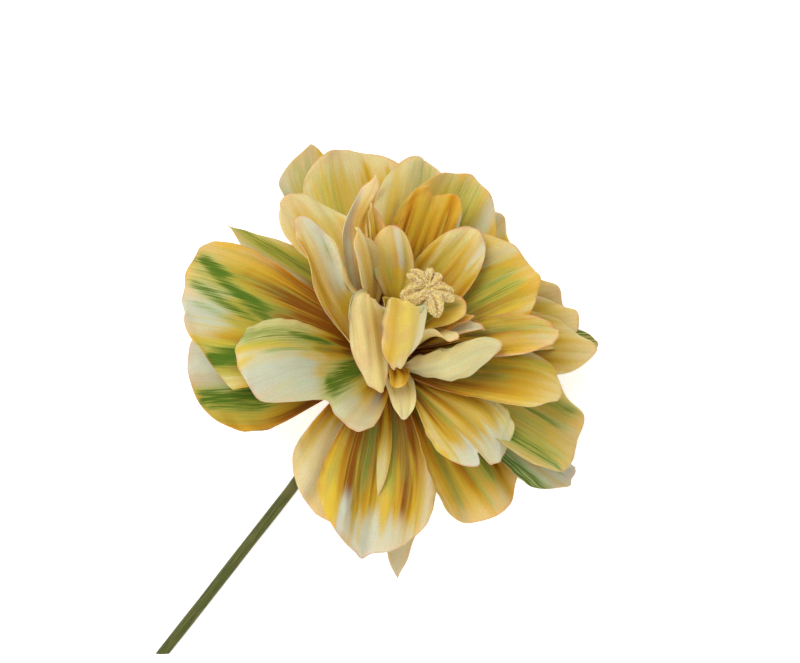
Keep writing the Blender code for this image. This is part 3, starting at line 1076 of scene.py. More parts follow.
@dataclass(frozen=True)
class StemFinish:
    """Smooth olive stem with fine lengthwise fibres and a pale cut."""

    name: str = "stem_skin"
    dark: Triple = (0.040, 0.048, 0.004)
    light: Triple = (0.105, 0.118, 0.013)
    brown: Triple = (0.20, 0.16, 0.05)
    pith: Triple = (0.46, 0.52, 0.24)
    cloud_cells: float = 90.0
    speck_cells: float = 1500.0
    bump_height: float = 0.0003
    roughness: float = 0.5
    translucence: float = 0.05
    scatter: float = 0.001
    gloss: float = 0.3

    def build(self) -> bpy.types.Material:
        """Make the material.

        Returns:
            The material.
        """
        graph = Graph(self.name)
        joined = graph.node("ShaderNodeCombineXYZ")
        graph.feed(joined.inputs[0], graph.attribute("turn"))
        graph.feed(joined.inputs[1], graph.attribute("run"))
        fibres = graph.noise(joined.outputs[0], (26.0, 90.0, 1.0), 3.0, 0.6)
        clouds = graph.speckle(self.cloud_cells)
        specks = graph.speckle(self.speck_cells, 1.0)
        colour = graph.mix(graph.fade(fibres, 0.3, 0.7), self.dark, self.light)
        colour = graph.mix(graph.fade(clouds, 0.45, 0.75, 0.0, 0.35), colour, self.brown)
        colour = graph.mix(graph.fade(specks, 0.6, 0.75, 0.0, 0.25), colour, self.light)
        colour = graph.mix(graph.attribute("cut"), colour, self.pith)
        return graph.dress(colour, graph.bump(fibres, 0.3, self.bump_height), Roughness=self.roughness,
                           Subsurface_Weight=self.translucence, Subsurface_Scale=self.scatter,
                           Specular_IOR_Level=self.gloss)


@dataclass(frozen=True)
class TableFinish:
    """Plain pale table top."""

    name: str = "pale_table"
    colour: Triple = (0.90, 0.90, 0.90)
    shade: Triple = (0.85, 0.85, 0.85)
    shade_share: float = 0.02
    grain_cells: float = 700.0
    roughness: float = 0.9
    glow: float = 0.50
    gloss: float = 0.1

    def build(self) -> bpy.types.Material:
        """Make the material.

        Returns:
            The material.
        """
        graph = Graph(self.name)
        grain = graph.speckle(self.grain_cells)
        colour = graph.mix(graph.fade(grain, 0.3, 0.7, 0.0, self.shade_share), self.colour, self.shade)
        return graph.dress(colour, Roughness=self.roughness, Emission_Color=(1.0, 1.0, 1.0, 1.0),
                           Emission_Strength=self.glow, Specular_IOR_Level=self.gloss)


class Shaper:
    """Short ways to build a Geometry Nodes tree and to turn its result into a plain mesh."""

    def __init__(self, name: str) -> None:
        """Start a tree with a mesh in and a mesh out.

        Args:
            name: The tree's name.
        """
        self.tree = bpy.data.node_groups.new(name, "GeometryNodeTree")
        for way in ("INPUT", "OUTPUT"):
            self.tree.interface.new_socket("Geometry", in_out=way, socket_type="NodeSocketGeometry")
        self.start = self.tree.nodes.new("NodeGroupInput")
        self.finish = self.tree.nodes.new("NodeGroupOutput")
        self.sockets: dict[str, str] = {}

    def size(self, name: str, kind: str = "NodeSocketFloat") -> bpy.types.NodeSocket:
        """Add a named input to the tree.

        Args:
            name: The input's name.
            kind: The type of its socket.

        Returns:
            The socket that carries it.
        """
        made = self.tree.interface.new_socket(name, in_out="INPUT", socket_type=kind)
        self.sockets[name] = made.identifier
        return self.start.outputs[name]

    def node(self, kind: str, settings: dict[str, object] | None = None,
             **inputs: object) -> bpy.types.Node:
        """Add a node.

        Args:
            kind: The node's type.
            settings: The node's own properties.
            **inputs: Values or sockets for its inputs, with _ for a space.

        Returns:
            The node.
        """
        made = self.tree.nodes.new(kind)
        for name, value in (settings or {}).items():
            setattr(made, name, value)
        for name, value in inputs.items():
            socket = made.inputs[name.replace("_", " ")]
            if isinstance(value, bpy.types.NodeSocket):
                self.tree.links.new(value, socket)
            else:
                socket.default_value = value
        return made

    def read(self, name: str) -> bpy.types.NodeSocket:
        """Read a number that is stored with the points."""
        return self.node("GeometryNodeInputNamedAttribute", {"data_type": "FLOAT"}, Name=name).outputs[0]

    def store(self, geometry: bpy.types.NodeSocket, name: str, value: bpy.types.NodeSocket,
              domain: str = "POINT") -> bpy.types.NodeSocket:
        """Store a number with the points or the instances.

        Args:
            geometry: What it is stored on.
            name: The number's name.
            value: The number.
            domain: Whether it is for each point or for each instance.

        Returns:
            The geometry that holds it.
        """
        made = self.node("GeometryNodeStoreNamedAttribute", {"data_type": "FLOAT", "domain": domain},
                         Geometry=geometry, Name=name, Value=value)
        return made.outputs[0]

    def draw(self, seed: bpy.types.NodeSocket, low: float, high: float) -> bpy.types.NodeSocket:
        """Draw a number for each point or instance.

        Args:
            seed: What the draw starts from.
            low: The smallest number.
            high: The largest number.

        Returns:
            The number.
        """
        made = self.node("FunctionNodeRandomValue", {"data_type": "FLOAT"}, Seed=seed)
        made.inputs[2].default_value = low
        made.inputs[3].default_value = high
        return made.outputs[1]

    def close(self, geometry: bpy.types.NodeSocket, finish: bpy.types.Material) -> None:
        """End the tree with real faces that have their material.

        Args:
            geometry: What the tree has made.
            finish: The material.
        """
        real = self.node("GeometryNodeRealizeInstances", Geometry=geometry)
        dressed = self.node("GeometryNodeSetMaterial", Geometry=real.outputs[0], Material=finish)
        self.tree.links.new(dressed.outputs[0], self.finish.inputs[0])

    def run(self, source: bpy.types.Object, name: str, values: dict[str, object]) -> bpy.types.Object:
        """Run the tree on an object.

        Args:
            source: The object that the tree works on.
            name: The name of the new piece.
            values: The value of each named input.

        Returns:
            A new object with the result as a plain mesh.
        """
        modifier = source.modifiers.new(name, "NODES")
        modifier.node_group = self.tree
        for key, value in values.items():
            modifier[self.sockets[key]] = value
        bpy.context.view_layer.update()
        graph = bpy.context.evaluated_depsgraph_get()
        mesh = bpy.data.meshes.new_from_object(source.evaluated_get(graph), depsgraph=graph)
        source.modifiers.remove(modifier)
        mesh.name = name
        return linked(name, mesh)


def turned_mesh(name: str, rings: np.ndarray) -> bpy.types.Mesh:
    """Close rings of points into a body.

    Args:
        name: The mesh's name.
        rings: Points by ring from the top down and by place round the ring, in metres.

    Returns:
        The closed mesh, with its first and last ring drawn together to a point.
    """
    count, sides, _ = rings.shape
    faces = []
    for ring in range(count - 1):
        for side in range(sides):
            beyond = (side + 1) % sides
            faces.append((ring * sides + side, (ring + 1) * sides + side, (ring + 1) * sides + beyond,
                          ring * sides + beyond))
    mesh = bpy.data.meshes.new(name)
    mesh.from_pydata(rings.reshape(-1, 3).tolist(), [], faces)
    work = bmesh.new()
    work.from_mesh(mesh)
    bmesh.ops.remove_doubles(work, verts=work.verts, dist=WELD)
    bmesh.ops.recalc_face_normals(work, faces=work.faces)
    work.to_mesh(mesh)
    work.free()
    mesh.shade_smooth()
    return mesh


def lathe(name: str, outline: tuple[Pair, ...], steps: int, sides: int) -> bpy.types.Mesh:
    """Turn an outline round the upright axis.

    Args:
        name: The mesh's name.
        outline: The reach and the rise of the outline's points, from one pole to the other.
        steps: Number of steps along the outline.
        sides: Number of steps round the axis.

    Returns:
        The closed mesh.
    """
    line = smooth_line(outline, steps)
    angles = np.linspace(0.0, 2 * math.pi, sides, endpoint=False)
    rings = np.stack((line[:, :1] * np.cos(angles), line[:, :1] * np.sin(angles),
                      np.repeat(line[:, 1:], sides, axis=1)), axis=2)
    return turned_mesh(name, rings * MM)


@dataclass
class Pistil:
    """The three-sided ovary, its waxy crown and the grains on it."""

    outline: tuple[Pair, ...] = ((0.0, 39.6), (1.9, 39.6), (2.1, 36.5), (2.5, 28.0), (2.7, 16.0),
                                 (2.6, 6.0), (2.3, 3.3), (0.0, 3.3))
    ridges: int = 3
    ridge: float = 0.10         # height of the ridges, as a share of the radius
    first_turn: float = -61.0   # where the first ridge and the first lobe stand
    yellows: Pair = (6.0, 40.0)     # rise between which the ovary turns yellow
    crown: tuple[Pair, ...] = ((0.0, 42.8), (2.2, 43.6), (4.6, 45.2), (6.4, 44.9), (6.9, 43.4), (6.2, 41.6),
                               (4.0, 39.9), (2.0, 38.9), (0.0, 38.8))
    crown_reach: float = 6.9
    crown_top: Pair = (41.5, 43.2)  # rise between which the underside turns into the top
    lobes: int = 5
    lobe_depth: float = 0.29
    bluntness: float = 0.55     # how blunt the lobes are: less is blunter
    furrow: float = 1.5         # depth of the fold down each lobe
    furrow_width: float = 0.26
    droop: float = 1.3          # how far the lobes' ends hang
    wrinkle: float = 0.34       # height of the wrinkles
    wrinkle_pitches: tuple[float, ...] = (1.1, 1.7, 2.6, 3.7)
    grains_per_square_metre: float = 9.0e6
    grain_radius: float = 0.17
    grain_sizes: Pair = (0.55, 1.35)    # range of the grains' sizes, as shares of the radius
    grain_spin: float = 6.28    # the most that a grain is turned about each axis, in radians
    seed: int = 11

    def turn_of(self, points: np.ndarray) -> np.ndarray:
        """The turn of each point round the axis, from the first ridge on."""
        return np.arctan2(points[:, 1], points[:, 0]) - math.radians(self.first_turn)

    def build_ovary(self, lie: Lie, finish: bpy.types.Material) -> bpy.types.Object:
        """Make the ovary with its blunt ridges.

        Args:
            lie: How the flower lies.
            finish: The ovary's material.

        Returns:
            The ovary.
        """
        mesh = lathe("ovary", self.outline, 60, 54)
        points = vertices_of(mesh)
        points[:, :2] *= (1.0 + self.ridge * np.cos(self.ridges * self.turn_of(points)))[:, None]
        per_vertex(mesh, "rise", smooth_step(*self.yellows, points[:, 2]))
        move_vertices(mesh, lie.place(points))
        return placed(mesh, finish)

    def build_crown(self, lie: Lie, finish: bpy.types.Material) -> bpy.types.Object:
        """Make the crown: blunt lobes, each folded down its middle.

        Args:
            lie: How the flower lies.
            finish: The crown's material.

        Returns:
            The crown.
        """
        mesh = lathe("stigma_crown", self.crown, 72, 180)
        points = vertices_of(mesh)
        draw = np.random.default_rng(self.seed)
        turn = self.turn_of(points)
        turn = turn + 0.10 * np.sin(2 * turn + 1.0)
        reach = np.hypot(points[:, 0], points[:, 1]) / self.crown_reach
        lobe = np.cos(self.lobes * turn)
        blunt = 2.0 * ((1.0 + lobe) / 2.0)**self.bluntness - 1.0
        uneven = 1.0 + 0.15 * np.cos(turn - 4.82) + 0.05 * np.sin(3 * turn + 2.1)
        swell = (1.0 + self.lobe_depth * blunt * smooth_step(0.1, 0.8, reach)) * uneven
        top = smooth_step(*self.crown_top, points[:, 2])
        fold = np.exp(-(np.sin(self.lobes * turn / 2.0) / self.furrow_width)**2)
        fold = fold * smooth_step(0.15, 0.5, reach)
        wrinkles = np.zeros(len(points))
        for pitch in self.wrinkle_pitches:
            heading = unit(draw.normal(size=3))
            wrinkles += np.sin(points @ heading * pitch * 2.2 + draw.uniform(0, 6.3)) / pitch
        hang = self.droop * top * smooth_step(0.5, 1.0, reach) * (1.0 + blunt) / 2
        points[:, :2] *= swell[:, None]
        points[:, 2] -= self.furrow * fold * top + hang
        heart = np.array((0.0, 0.0, self.crown_top[0]))
        points += unit(points - heart) * (self.wrinkle * wrinkles)[:, None]
        # where painted shade darkens the crown: down each lobe's fold and between the lobes
        crease_shade = fold * top * 0.8 + smooth_step(0.2, -0.9, lobe) * 0.7 * top
        per_vertex(mesh, "crease_shade", np.clip(crease_shade, 0.0, 1.0))
        per_vertex(mesh, "dust", np.clip(0.05 + 0.95 * top * (1.0 - 0.35 * fold), 0.0, 1.0))
        move_vertices(mesh, lie.place(points))
        return placed(mesh, finish)

    def build_grains(self, crown: bpy.types.Object, finish: bpy.types.Material) -> bpy.types.Object:
        """Scatter the grains over the top of the crown.

        Args:
            crown: The finished crown, with its dust stored on it.
            finish: The grains' material.

        Returns:
            The grains as one piece.
        """
        shaper = Shaper("grains_on_crown")
        density = shaper.size("Density")
        radius = shaper.size("Radius")
        seed = shaper.size("Seed", "NodeSocketInt")
        thick = shaper.node("ShaderNodeMath", {"operation": "MULTIPLY"})
        for socket, factor in zip(thick.inputs, (density, shaper.read("dust"))):
            shaper.tree.links.new(factor, socket)
        points = shaper.node("GeometryNodeDistributePointsOnFaces", Mesh=shaper.start.outputs[0],
                             Density=thick.outputs[0], Seed=seed)
        ball = shaper.node("GeometryNodeMeshIcoSphere", Radius=radius, Subdivisions=1)
        spin = shaper.node("FunctionNodeRandomValue", {"data_type": "FLOAT_VECTOR"}, Seed=seed)
        spin.inputs[1].default_value = (self.grain_spin,) * 3
        grains = shaper.node("GeometryNodeInstanceOnPoints", Points=points.outputs[0],
                             Instance=ball.outputs[0], Scale=shaper.draw(seed, *self.grain_sizes),
                             Rotation=spin.outputs[0])
        toned = shaper.store(grains.outputs[0], "tone", shaper.draw(seed, 0.0, 1.0), "INSTANCE")
        shaper.close(toned, finish)
        return shaper.run(crown, "pollen_grains", {"Density": self.grains_per_square_metre,
                                                   "Radius": self.grain_radius * MM, "Seed": self.seed})


@dataclass
class Stem:
    """The stem: a tube from under the receptacle down to the table and out to its cut."""

    radius: float = 1.9
    rest: float = 1.93          # height of the middle line where the stem lies on the table
    top: float = -2.6           # rise of its hidden upper end
    below: float = -4.45        # rise at which it leaves the receptacle
    landing: Pair = (-29.42, -32.20)
    pull: float = 46.0          # how widely it bends between the two
    route: tuple[Pair, ...] = ((-44.92, -51.90), (-57.52, -68.10), (-71.92, -86.30))
    girth: float = 0.985        # share of the radius that the plain stem has
    flare: Pair = (0.28, 0.03)  # how much thicker it is at its top, and the share of its length this takes
    waver: Pair = (0.015, 37.0)     # height and pace of its slow changes in girth
    cut_y: float = -85.3
    cut_rim: float = 0.2        # width of the skin round the cut
    steps: int = 150
    sides: int = 40

    def line(self, lie: Lie) -> np.ndarray:
        """Trace the stem's middle line.

        Args:
            lie: How the flower lies.

        Returns:
            The line's points, in millimetres.
        """
        axis = lie.matrix()[:, 2]
        start = np.array(lie.foot) + axis * self.top
        below = np.array(lie.foot) + axis * self.below
        landing = np.array((*self.landing, self.rest))
        route = np.array([(*point, self.rest) for point in self.route])
        level = unit(route[0] - landing)
        bend = hermite(below, -axis * self.pull, landing, level * self.pull)
        return even_steps(np.concatenate((start[None, :], bend, route)), self.steps)

    def build(self, lie: Lie, finish: bpy.types.Material) -> bpy.types.Object:
        """Make the tube along its line, and cut it level.

        Args:
            lie: How the flower lies.
            finish: The stem's material.

        Returns:
            The stem.
        """
        line = self.line(lie)
        mesh = bpy.data.meshes.new("stem_line")
        mesh.from_pydata((line * MM).tolist(), [(k, k + 1) for k in range(len(line) - 1)], [])
        run = np.linspace(0.0, 1.0, len(line))
        flare = self.flare[0] * np.exp(-(run / self.flare[1])**2)
        waver = self.waver[0] * np.sin(run * self.waver[1]) * run
        per_vertex(mesh, "girth", self.girth + flare + waver)
        guide = linked("stem_line", mesh)
        shaper = Shaper("tube_along_line")
        radius = shaper.size("Radius")
        sides = shaper.size("Sides", "NodeSocketInt")
        place = shaper.node("GeometryNodeSplineParameter")
        path = shaper.node("GeometryNodeMeshToCurve", Mesh=shaper.start.outputs[0])
        ring = shaper.node("GeometryNodeCurvePrimitiveCircle", Resolution=sides, Radius=radius)
        tube = shaper.node("GeometryNodeCurveToMesh",
                           Curve=shaper.store(path.outputs[0], "run", place.outputs["Length"]),
                           Profile_Curve=shaper.store(ring.outputs[0], "turn", place.outputs["Factor"]),
                           Scale=shaper.read("girth"), Fill_Caps=True)
        shaper.close(tube.outputs[0], finish)
        stem = shaper.run(guide, "stem_tube", {"Radius": self.radius * MM, "Sides": self.sides})
        bpy.data.objects.remove(guide)
        self.trim(stem.data)
        return stem

    def trim(self, mesh: bpy.types.Mesh) -> None:
        """Cut the tube level at its end, and mark the cut.

        Args:
            mesh: The tube's mesh.
        """
        work = bmesh.new()
        work.from_mesh(mesh)
        bmesh.ops.remove_doubles(work, verts=work.verts, dist=WELD)
        everything = work.verts[:] + work.edges[:] + work.faces[:]
        cut = bmesh.ops.bisect_plane(work, geom=everything, plane_co=(0.0, self.cut_y * MM, 0.0),
                                     plane_no=(0.0, -1.0, 0.0), clear_outer=True)
        edges = [item for item in cut["geom_cut"] if isinstance(item, bmesh.types.BMEdge)]
        ends = bmesh.ops.edgeloop_fill(work, edges=edges)["faces"]
        layer = work.verts.layers.float.new("cut")
        rim = bmesh.ops.inset_region(work, faces=ends, thickness=self.cut_rim * MM)["faces"]
        for face in ends:
            for vertex in face.verts:
                vertex[layer] = 1.0
        bmesh.ops.recalc_face_normals(work, faces=work.faces)
        for face in work.faces:
            face.smooth = face not in ends
        LOG.info("the stem's cut has %d faces and a rim of %d", len(ends), len(rim))
        work.to_mesh(mesh)
        work.free()


@dataclass
class Receptacle:
    """The small green cushion under the bloom that every petal grows from."""

    outline: tuple[Pair, ...] = ((0.0, 3.2), (3.4, 3.2), (6.4, 3.5), (8.0, 3.0), (8.4, 1.6), (7.2, -0.9),
                                 (5.0, -2.9), (2.6, -4.1), (0.0, -4.2))
    lobes: int = 6
    lobe_depth: float = 0.03
    yellows: Pair = (-4.0, 3.0)     # rise between which the flesh turns yellow

    def build(self, lie: Lie, finish: bpy.types.Material) -> bpy.types.Object:
        """Make the cushion, faintly lobed under its petals.

        Args:
            lie: How the flower lies.
            finish: The cushion's material.

        Returns:
            The cushion.
        """
        mesh = lathe("receptacle", self.outline, 40, 90)
        points = vertices_of(mesh)
        turn = np.arctan2(points[:, 1], points[:, 0])
        points[:, :2] *= (1.0 + self.lobe_depth * np.cos(self.lobes * turn))[:, None]
        per_vertex(mesh, "rise", smooth_step(*self.yellows, points[:, 2]))
        move_vertices(mesh, lie.place(points))
        return placed(mesh, finish)


GUARD_PETALS = (
    Petal("guard_top",
          Shape((51, 78, 0), 45, 85, 45, (40, 15), (0.5, 1.25), root_turn=84, jag=0.003),
          Paint((0.1, 0.5), 0.26, veins=0.3, streaks=(
              yellow(-0.25, -0.12, 0.10, 0.62, 1.0, 0.8), green(0.25, 0.30, 0.35, 0.3, 0.92, 0.40),
              white(0.70, 0.60, 0.18, 0.5, 0.95, 0.5)))),
    Petal("guard_left",
          Shape((80, 67, -13), 60, 100, 15, (50, 40), (0.6, 1.15), root_turn=76, jag=0.003),
          Paint((0.2, 0.8), 0.50, streaks=(
              green(-0.3, -0.1, 0.5, 0.3, 1.1, 0.62), white(0.65, 0.5, 0.35, 0.4, 0.93, 0.8)))),
    Petal("guard_upper_right",
          Shape((-5, 64, 12), 45, 85, 28, (50, 10)),
          Paint((0.1, 0.6), 0.34, streaks=(
              white(0.35, 0.35, 0.4, 0.75, 1.0, 0.7), yellow(-0.45, -0.45, 0.25, 0.7, 1.1, 0.9)))),
    Petal("guard_right",
          Shape((-36, 65, 12), 50, 85, 26, (50, 10), jag=0.004),
          Paint((0.1, 0.6), 0.44, rim=0.3)),
    Petal("guard_far_right",
          Shape((-46, 78, 1), 60, 90, 22, (50, 20), (0.4, 1.5)),
          Paint((0.1, 0.6), 0.42, streaks=(green(0.1, 0.2, 0.6, 0.72, 1.1, 0.75),))),
    Petal("guard_lower_right",
          Shape((-76, 78, -16), 70, 105, 34, (50, 10), (0.3, 2.3), root_turn=-85),
          Paint((0.1, 0.5), 0.05, pale=0.05, veins=0.3, streaks=(
              white(0.0, 0.0, 1.2, 0.45, 1.1, 1.0), green(-0.90, -0.92, 0.22, 0.45, 0.95, 0.85),
              green(-0.30, -0.35, 0.08, 0.5, 0.95, 0.60), yellow(-0.6, -0.6, 0.10, 0.6, 1.1, 0.5),
              yellow(0.2, 0.3, 0.10, 0.85, 1.1, 0.6)))),
    Petal("guard_bottom",
          Shape((-127, 63, -46), 80, 125, 19, (50, 30), (0.55, 1.1), jag=0.003),
          Paint((0.1, 0.5), 0.05, pale=0.1, veins=0.1, streaks=(white(0.0, 0.0, 0.6, 0.7, 1.1, 0.5),))),
    Petal("guard_lower_left",
          Shape((127, 59, -23), 90, 115, 50, (40, 10), root_turn=145, ruffle=(2, 1.5), jag=0.003),
          Paint((0.25, 0.62), 0.62, pale=0.15, veins=0.3, streaks=(
              white(-0.10, -0.02, 0.42, 0.72, 1.1, 1.0), white(0.14, 0.20, 0.10, 0.80, 1.1, 0.8),
              amber(0.05, 0.05, 0.35, 0.2, 0.62, 0.75), green(0.44, 0.50, 0.17, 0.45, 0.98, 1.0),
              green(0.62, 0.62, 0.12, 0.5, 0.90, 0.7), amber(0.88, 0.85, 0.22, 0.2, 0.93, 0.62),
              yellow(0.40, 0.40, 0.05, 0.92, 1.1, 0.8), green(0.80, 0.80, 0.14, 0.5, 0.95, 0.42)))),
)

OUTER_PETALS = (
    Petal("outer_top",
          Shape((45, 68, 13), 35, 80, 43, (40, 10), (0.3, 2.0), ribs=(0.35, 4)),
          Paint((0.2, 0.75), 0.30, veins=0.6, streaks=(
              amber(-0.20, -0.22, 0.07, 0.3, 0.95, 0.70), amber(-0.08, -0.10, 0.04, 0.4, 0.9, 0.60),
              amber(-0.50, -0.52, 0.06, 0.3, 0.88, 0.65), yellow(0.10, 0.12, 0.10, 0.4, 0.9, 0.35),
              green(0.55, 0.60, 0.25, 0.5, 0.9, 0.28)))),
    Petal("outer_top_middle",
          Shape((25, 63, 21), 35, 80, 30, (40, 15), jag=0.003),
          Paint((0.15, 0.7), 0.22, pale=0.2, veins=0.2, streaks=(
              green(-0.1, -0.1, 0.6, 0.3, 1.0, 0.38), white(0.3, 0.3, 0.4, 0.5, 1.0, 0.3)))),
    Petal("outer_top_right",
          Shape((10, 61, 27), 35, 75, 36, (40, 15), (0.45, 1.4), ribs=(0.5, 4)),
          Paint((0.15, 0.8), 0.42, pale=0.25, streaks=(
              white(-0.55, -0.55, 0.18, 0.5, 0.98, 0.65), yellow(-0.25, -0.22, 0.07, 0.4, 0.93, 0.5),
              green(0.0, 0.0, 0.6, 0.3, 0.97, 0.46), amber(0.35, 0.35, 0.10, 0.3, 0.85, 0.55)))),
    Petal("outer_right",
          Shape((-46, 64, 17), 45, 85, 24, jag=0.004),
          Paint((0.2, 0.8), 0.40, streaks=(green(0.0, 0.0, 0.6, 0.5, 0.9, 0.25),))),
    Petal("outer_far_right",
          Shape((-56, 68, 19), 60, 85, 26, (40, 20), (0.45, 1.4), jag=0.003),
          Paint((0.2, 0.8), 0.42, streaks=(yellow(0.45, 0.45, 0.2, 0.3, 0.8, 0.6),))),
    Petal("outer_green",
          Shape((-75, 73, -3), 70, 100, 41, (40, 20), (0.3, 2.3), skew=-0.03, jag=0.003),
          Paint((0.1, 0.4), 0.34, fingers=0.1, pale=0.22, veins=0.9, streaks=(
              green(-0.06, -0.28, 0.56, 0.15, 0.84, 0.46), green(-0.14, -0.36, 0.26, 0.15, 0.60, 0.66),
              green(-0.55, -0.60, 0.36, 0.3, 0.95, 0.66), green(-0.66, -0.68, 0.07, 0.4, 0.95, 0.75),
              green(0.10, 0.12, 0.10, 0.5, 0.9, 0.65), green(0.40, 0.42, 0.26, 0.45, 0.95, 0.60),
              yellow(-0.08, -0.12, 0.04, 0.72, 0.93, 0.5), amber(0.88, 0.88, 0.16, 0.55, 1.0, 0.48)))),
    Petal("outer_lower_right",
          Shape((-102.5, 64, -13), 80, 110, 41, (50, 10), (0.3, 2.0), ribs=(0.3, 5), jag=0.003),
          Paint((0.25, 0.92), 0.46, fingers=0.25, pale=0.32, veins=0.8, streaks=(
              green(-0.15, -0.12, 0.05, 0.35, 0.98, 0.55), green(-0.50, -0.55, 0.16, 0.2, 0.85, 0.50),
              amber(0.35, 0.35, 0.10, 0.4, 0.95, 0.46), amber(-0.75, -0.80, 0.12, 0.3, 0.8, 0.46),
              yellow(-0.35, -0.35, 0.05, 0.4, 0.95, 0.45), green(0.12, 0.12, 0.22, 0.3, 0.85, 0.62),
              white(0.10, 0.10, 0.30, 0.86, 1.0, 0.35)))),
    Petal("outer_bottom",
          Shape((-145.5, 63, -27), 90, 125, 40, (50, 10), (0.36, 1.5), skew=0.05,
                cuts=((-0.03, 0.05, 0.12),), ribs=(0.35, 6), jag=0.003),
          Paint((0.40, 0.98), 0.44, fingers=0.22, pale=0.36, veins=0.8, rim=0.6, streaks=(
              yellow(-0.90, -0.88, 0.12, 0.35, 0.72, 0.5), green(-0.80, -0.82, 0.06, 0.35, 0.65, 0.40),
              amber(-0.60, -0.70, 0.10, 0.30, 0.80, 0.46), amber(-0.45, -0.46, 0.06, 0.15, 0.66, 0.52),
              green(-0.18, -0.20, 0.16, 0.15, 0.68, 0.56), green(0.25, 0.26, 0.12, 0.15, 0.70, 0.60),
              green(0.45, 0.48, 0.08, 0.25, 0.60, 0.40), yellow(-0.30, -0.10, 0.035, 0.45, 0.97, 0.6),
              yellow(-0.40, -0.24, 0.03, 0.45, 0.94, 0.5), yellow(0.02, 0.08, 0.03, 0.45, 0.88, 0.5),
              yellow(0.15, 0.30, 0.04, 0.45, 0.92, 0.6), amber(0.18, 0.26, 0.03, 0.45, 0.80, 0.40),
              yellow(0.38, 0.46, 0.04, 0.45, 0.85, 0.6), yellow(0.60, 0.70, 0.05, 0.40, 0.82, 0.6),
              yellow(-0.72, -0.76, 0.12, 0.62, 0.95, 0.95), white(0.05, 0.12, 0.75, 0.76, 1.1, 0.80),
              white(-0.52, -0.56, 0.11, 0.68, 1.05, 0.95), white(0.88, 0.92, 0.14, 0.40, 0.95, 0.55)))),
    Petal("outer_bottom_left",
          Shape((-163, 51, -28), 90, 130, 33, (50, 20), (0.3, 2.0), skew=0.12, jag=0.003),
          Paint((0.2, 0.7), 0.16, veins=0.3, streaks=(
              yellow(0.35, 0.40, 0.18, 0.55, 1.0, 0.4), white(-0.45, -0.45, 0.35, 0.4, 0.95, 0.45),
              green(-0.1, -0.1, 0.15, 0.2, 0.7, 0.4)))),
    Petal("outer_wing",
          Shape((117, 70, -6), 75, 95, 55, (45, 5), (0.05, 2.0), root_turn=130, turned=(-9, -3), fill=1.0,
                outline=((-1.0, 0.70), (-0.97, 0.85), (-0.83, 0.92), (-0.49, 0.96), (-0.14, 0.95),
                         (0.17, 0.93), (0.36, 0.88), (0.49, 0.81), (0.70, 0.72), (1.0, 0.61)),
                sides=(0.92, 1.0)),
          Paint((0.40, 0.88), 0.32, fingers=0.22, pale=0.30, veins=0.5, streaks=(
              amber(-0.40, -0.62, 0.42, 0.0, 0.72, 0.74), green(-0.13, -0.73, 0.15, 0.46, 0.92, 0.95),
              green(-0.16, -0.66, 0.34, 0.44, 0.97, 0.55),
              green(-0.02, -0.44, 0.11, 0.54, 0.95, 0.75), green(0.08, -0.18, 0.08, 0.60, 0.93, 0.50),
              white(0.00, -0.05, 0.30, 0.72, 1.1, 1.0), yellow(-0.28, -0.62, 0.05, 0.5, 0.90, 0.6),
              yellow(-0.54, -0.52, 0.12, 0.90, 1.1, 0.9), yellow(0.04, 0.10, 0.03, 0.6, 0.93, 0.5),
              yellow(0.14, 0.20, 0.03, 0.6, 0.93, 0.5), yellow(0.37, 0.40, 0.08, 0.60, 1.0, 0.75),
              green(0.44, 0.60, 0.18, 0.40, 0.82, 1.0),
              green(0.46, 0.60, 0.34, 0.36, 0.90, 0.52), amber(-0.35, -0.50, 0.05, 0.3, 0.7, 0.6),
              white(-0.95, -0.95, 0.10, 0.5, 0.8, 0.35)))),
    Petal("outer_saddle",
          Shape((156, 52, 5), 60, 120, 64, (10, 0), (0.05, 2.0), neck=0.25, fill=1.1, root_turn=172,
                pleat=(-7, 1.1, -40), sides=(0.95, 1.0),
                outline=((-1.0, 0.62), (-0.94, 0.81), (-0.66, 0.96), (-0.34, 1.0), (0.08, 1.0),
                         (0.16, 0.96), (0.22, 0.60), (0.34, 0.55), (0.72, 0.56), (0.89, 0.53), (1.0, 0.44)),
                jag=0.003),
          Paint((0.12, 0.45), 0.16, fingers=0.1, pale=0.16, veins=0.3, rim=0.6, streaks=(
              green(-0.60, -0.80, 0.26, 0.36, 0.92, 0.62), green(-0.58, -0.74, 0.11, 0.26, 0.62, 0.90),
              yellow(-0.48, -0.62, 0.10, 0.58, 0.99, 0.85), green(-0.38, -0.40, 0.06, 0.52, 0.85, 0.50),
              white(-0.06, -0.12, 0.30, 0.58, 1.1, 1.0), yellow(-0.36, -0.34, 0.09, 0.92, 1.1, 0.8),
              amber(-0.40, -0.45, 0.28, 0.0, 0.48, 0.80), green(-0.08, 0.20, 0.22, 0.06, 0.58, 1.0),
              green(-0.02, 0.26, 0.36, 0.10, 0.64, 0.45),
              amber(0.36, 0.42, 0.12, 0.1, 0.34, 0.5), amber(0.60, 0.64, 0.05, 0.34, 0.56, 0.45),
              white(0.50, 0.52, 0.34, 0.34, 0.70, 0.62), white(0.82, 0.84, 0.20, 0.20, 0.70, 0.55),
              # the wide faint green streak greys the white end: painted shade
              green(-0.05, -0.10, 0.40, 0.5, 1.1, 0.16), yellow(0.02, 0.04, 0.05, 0.70, 0.97, 0.4)))),
)

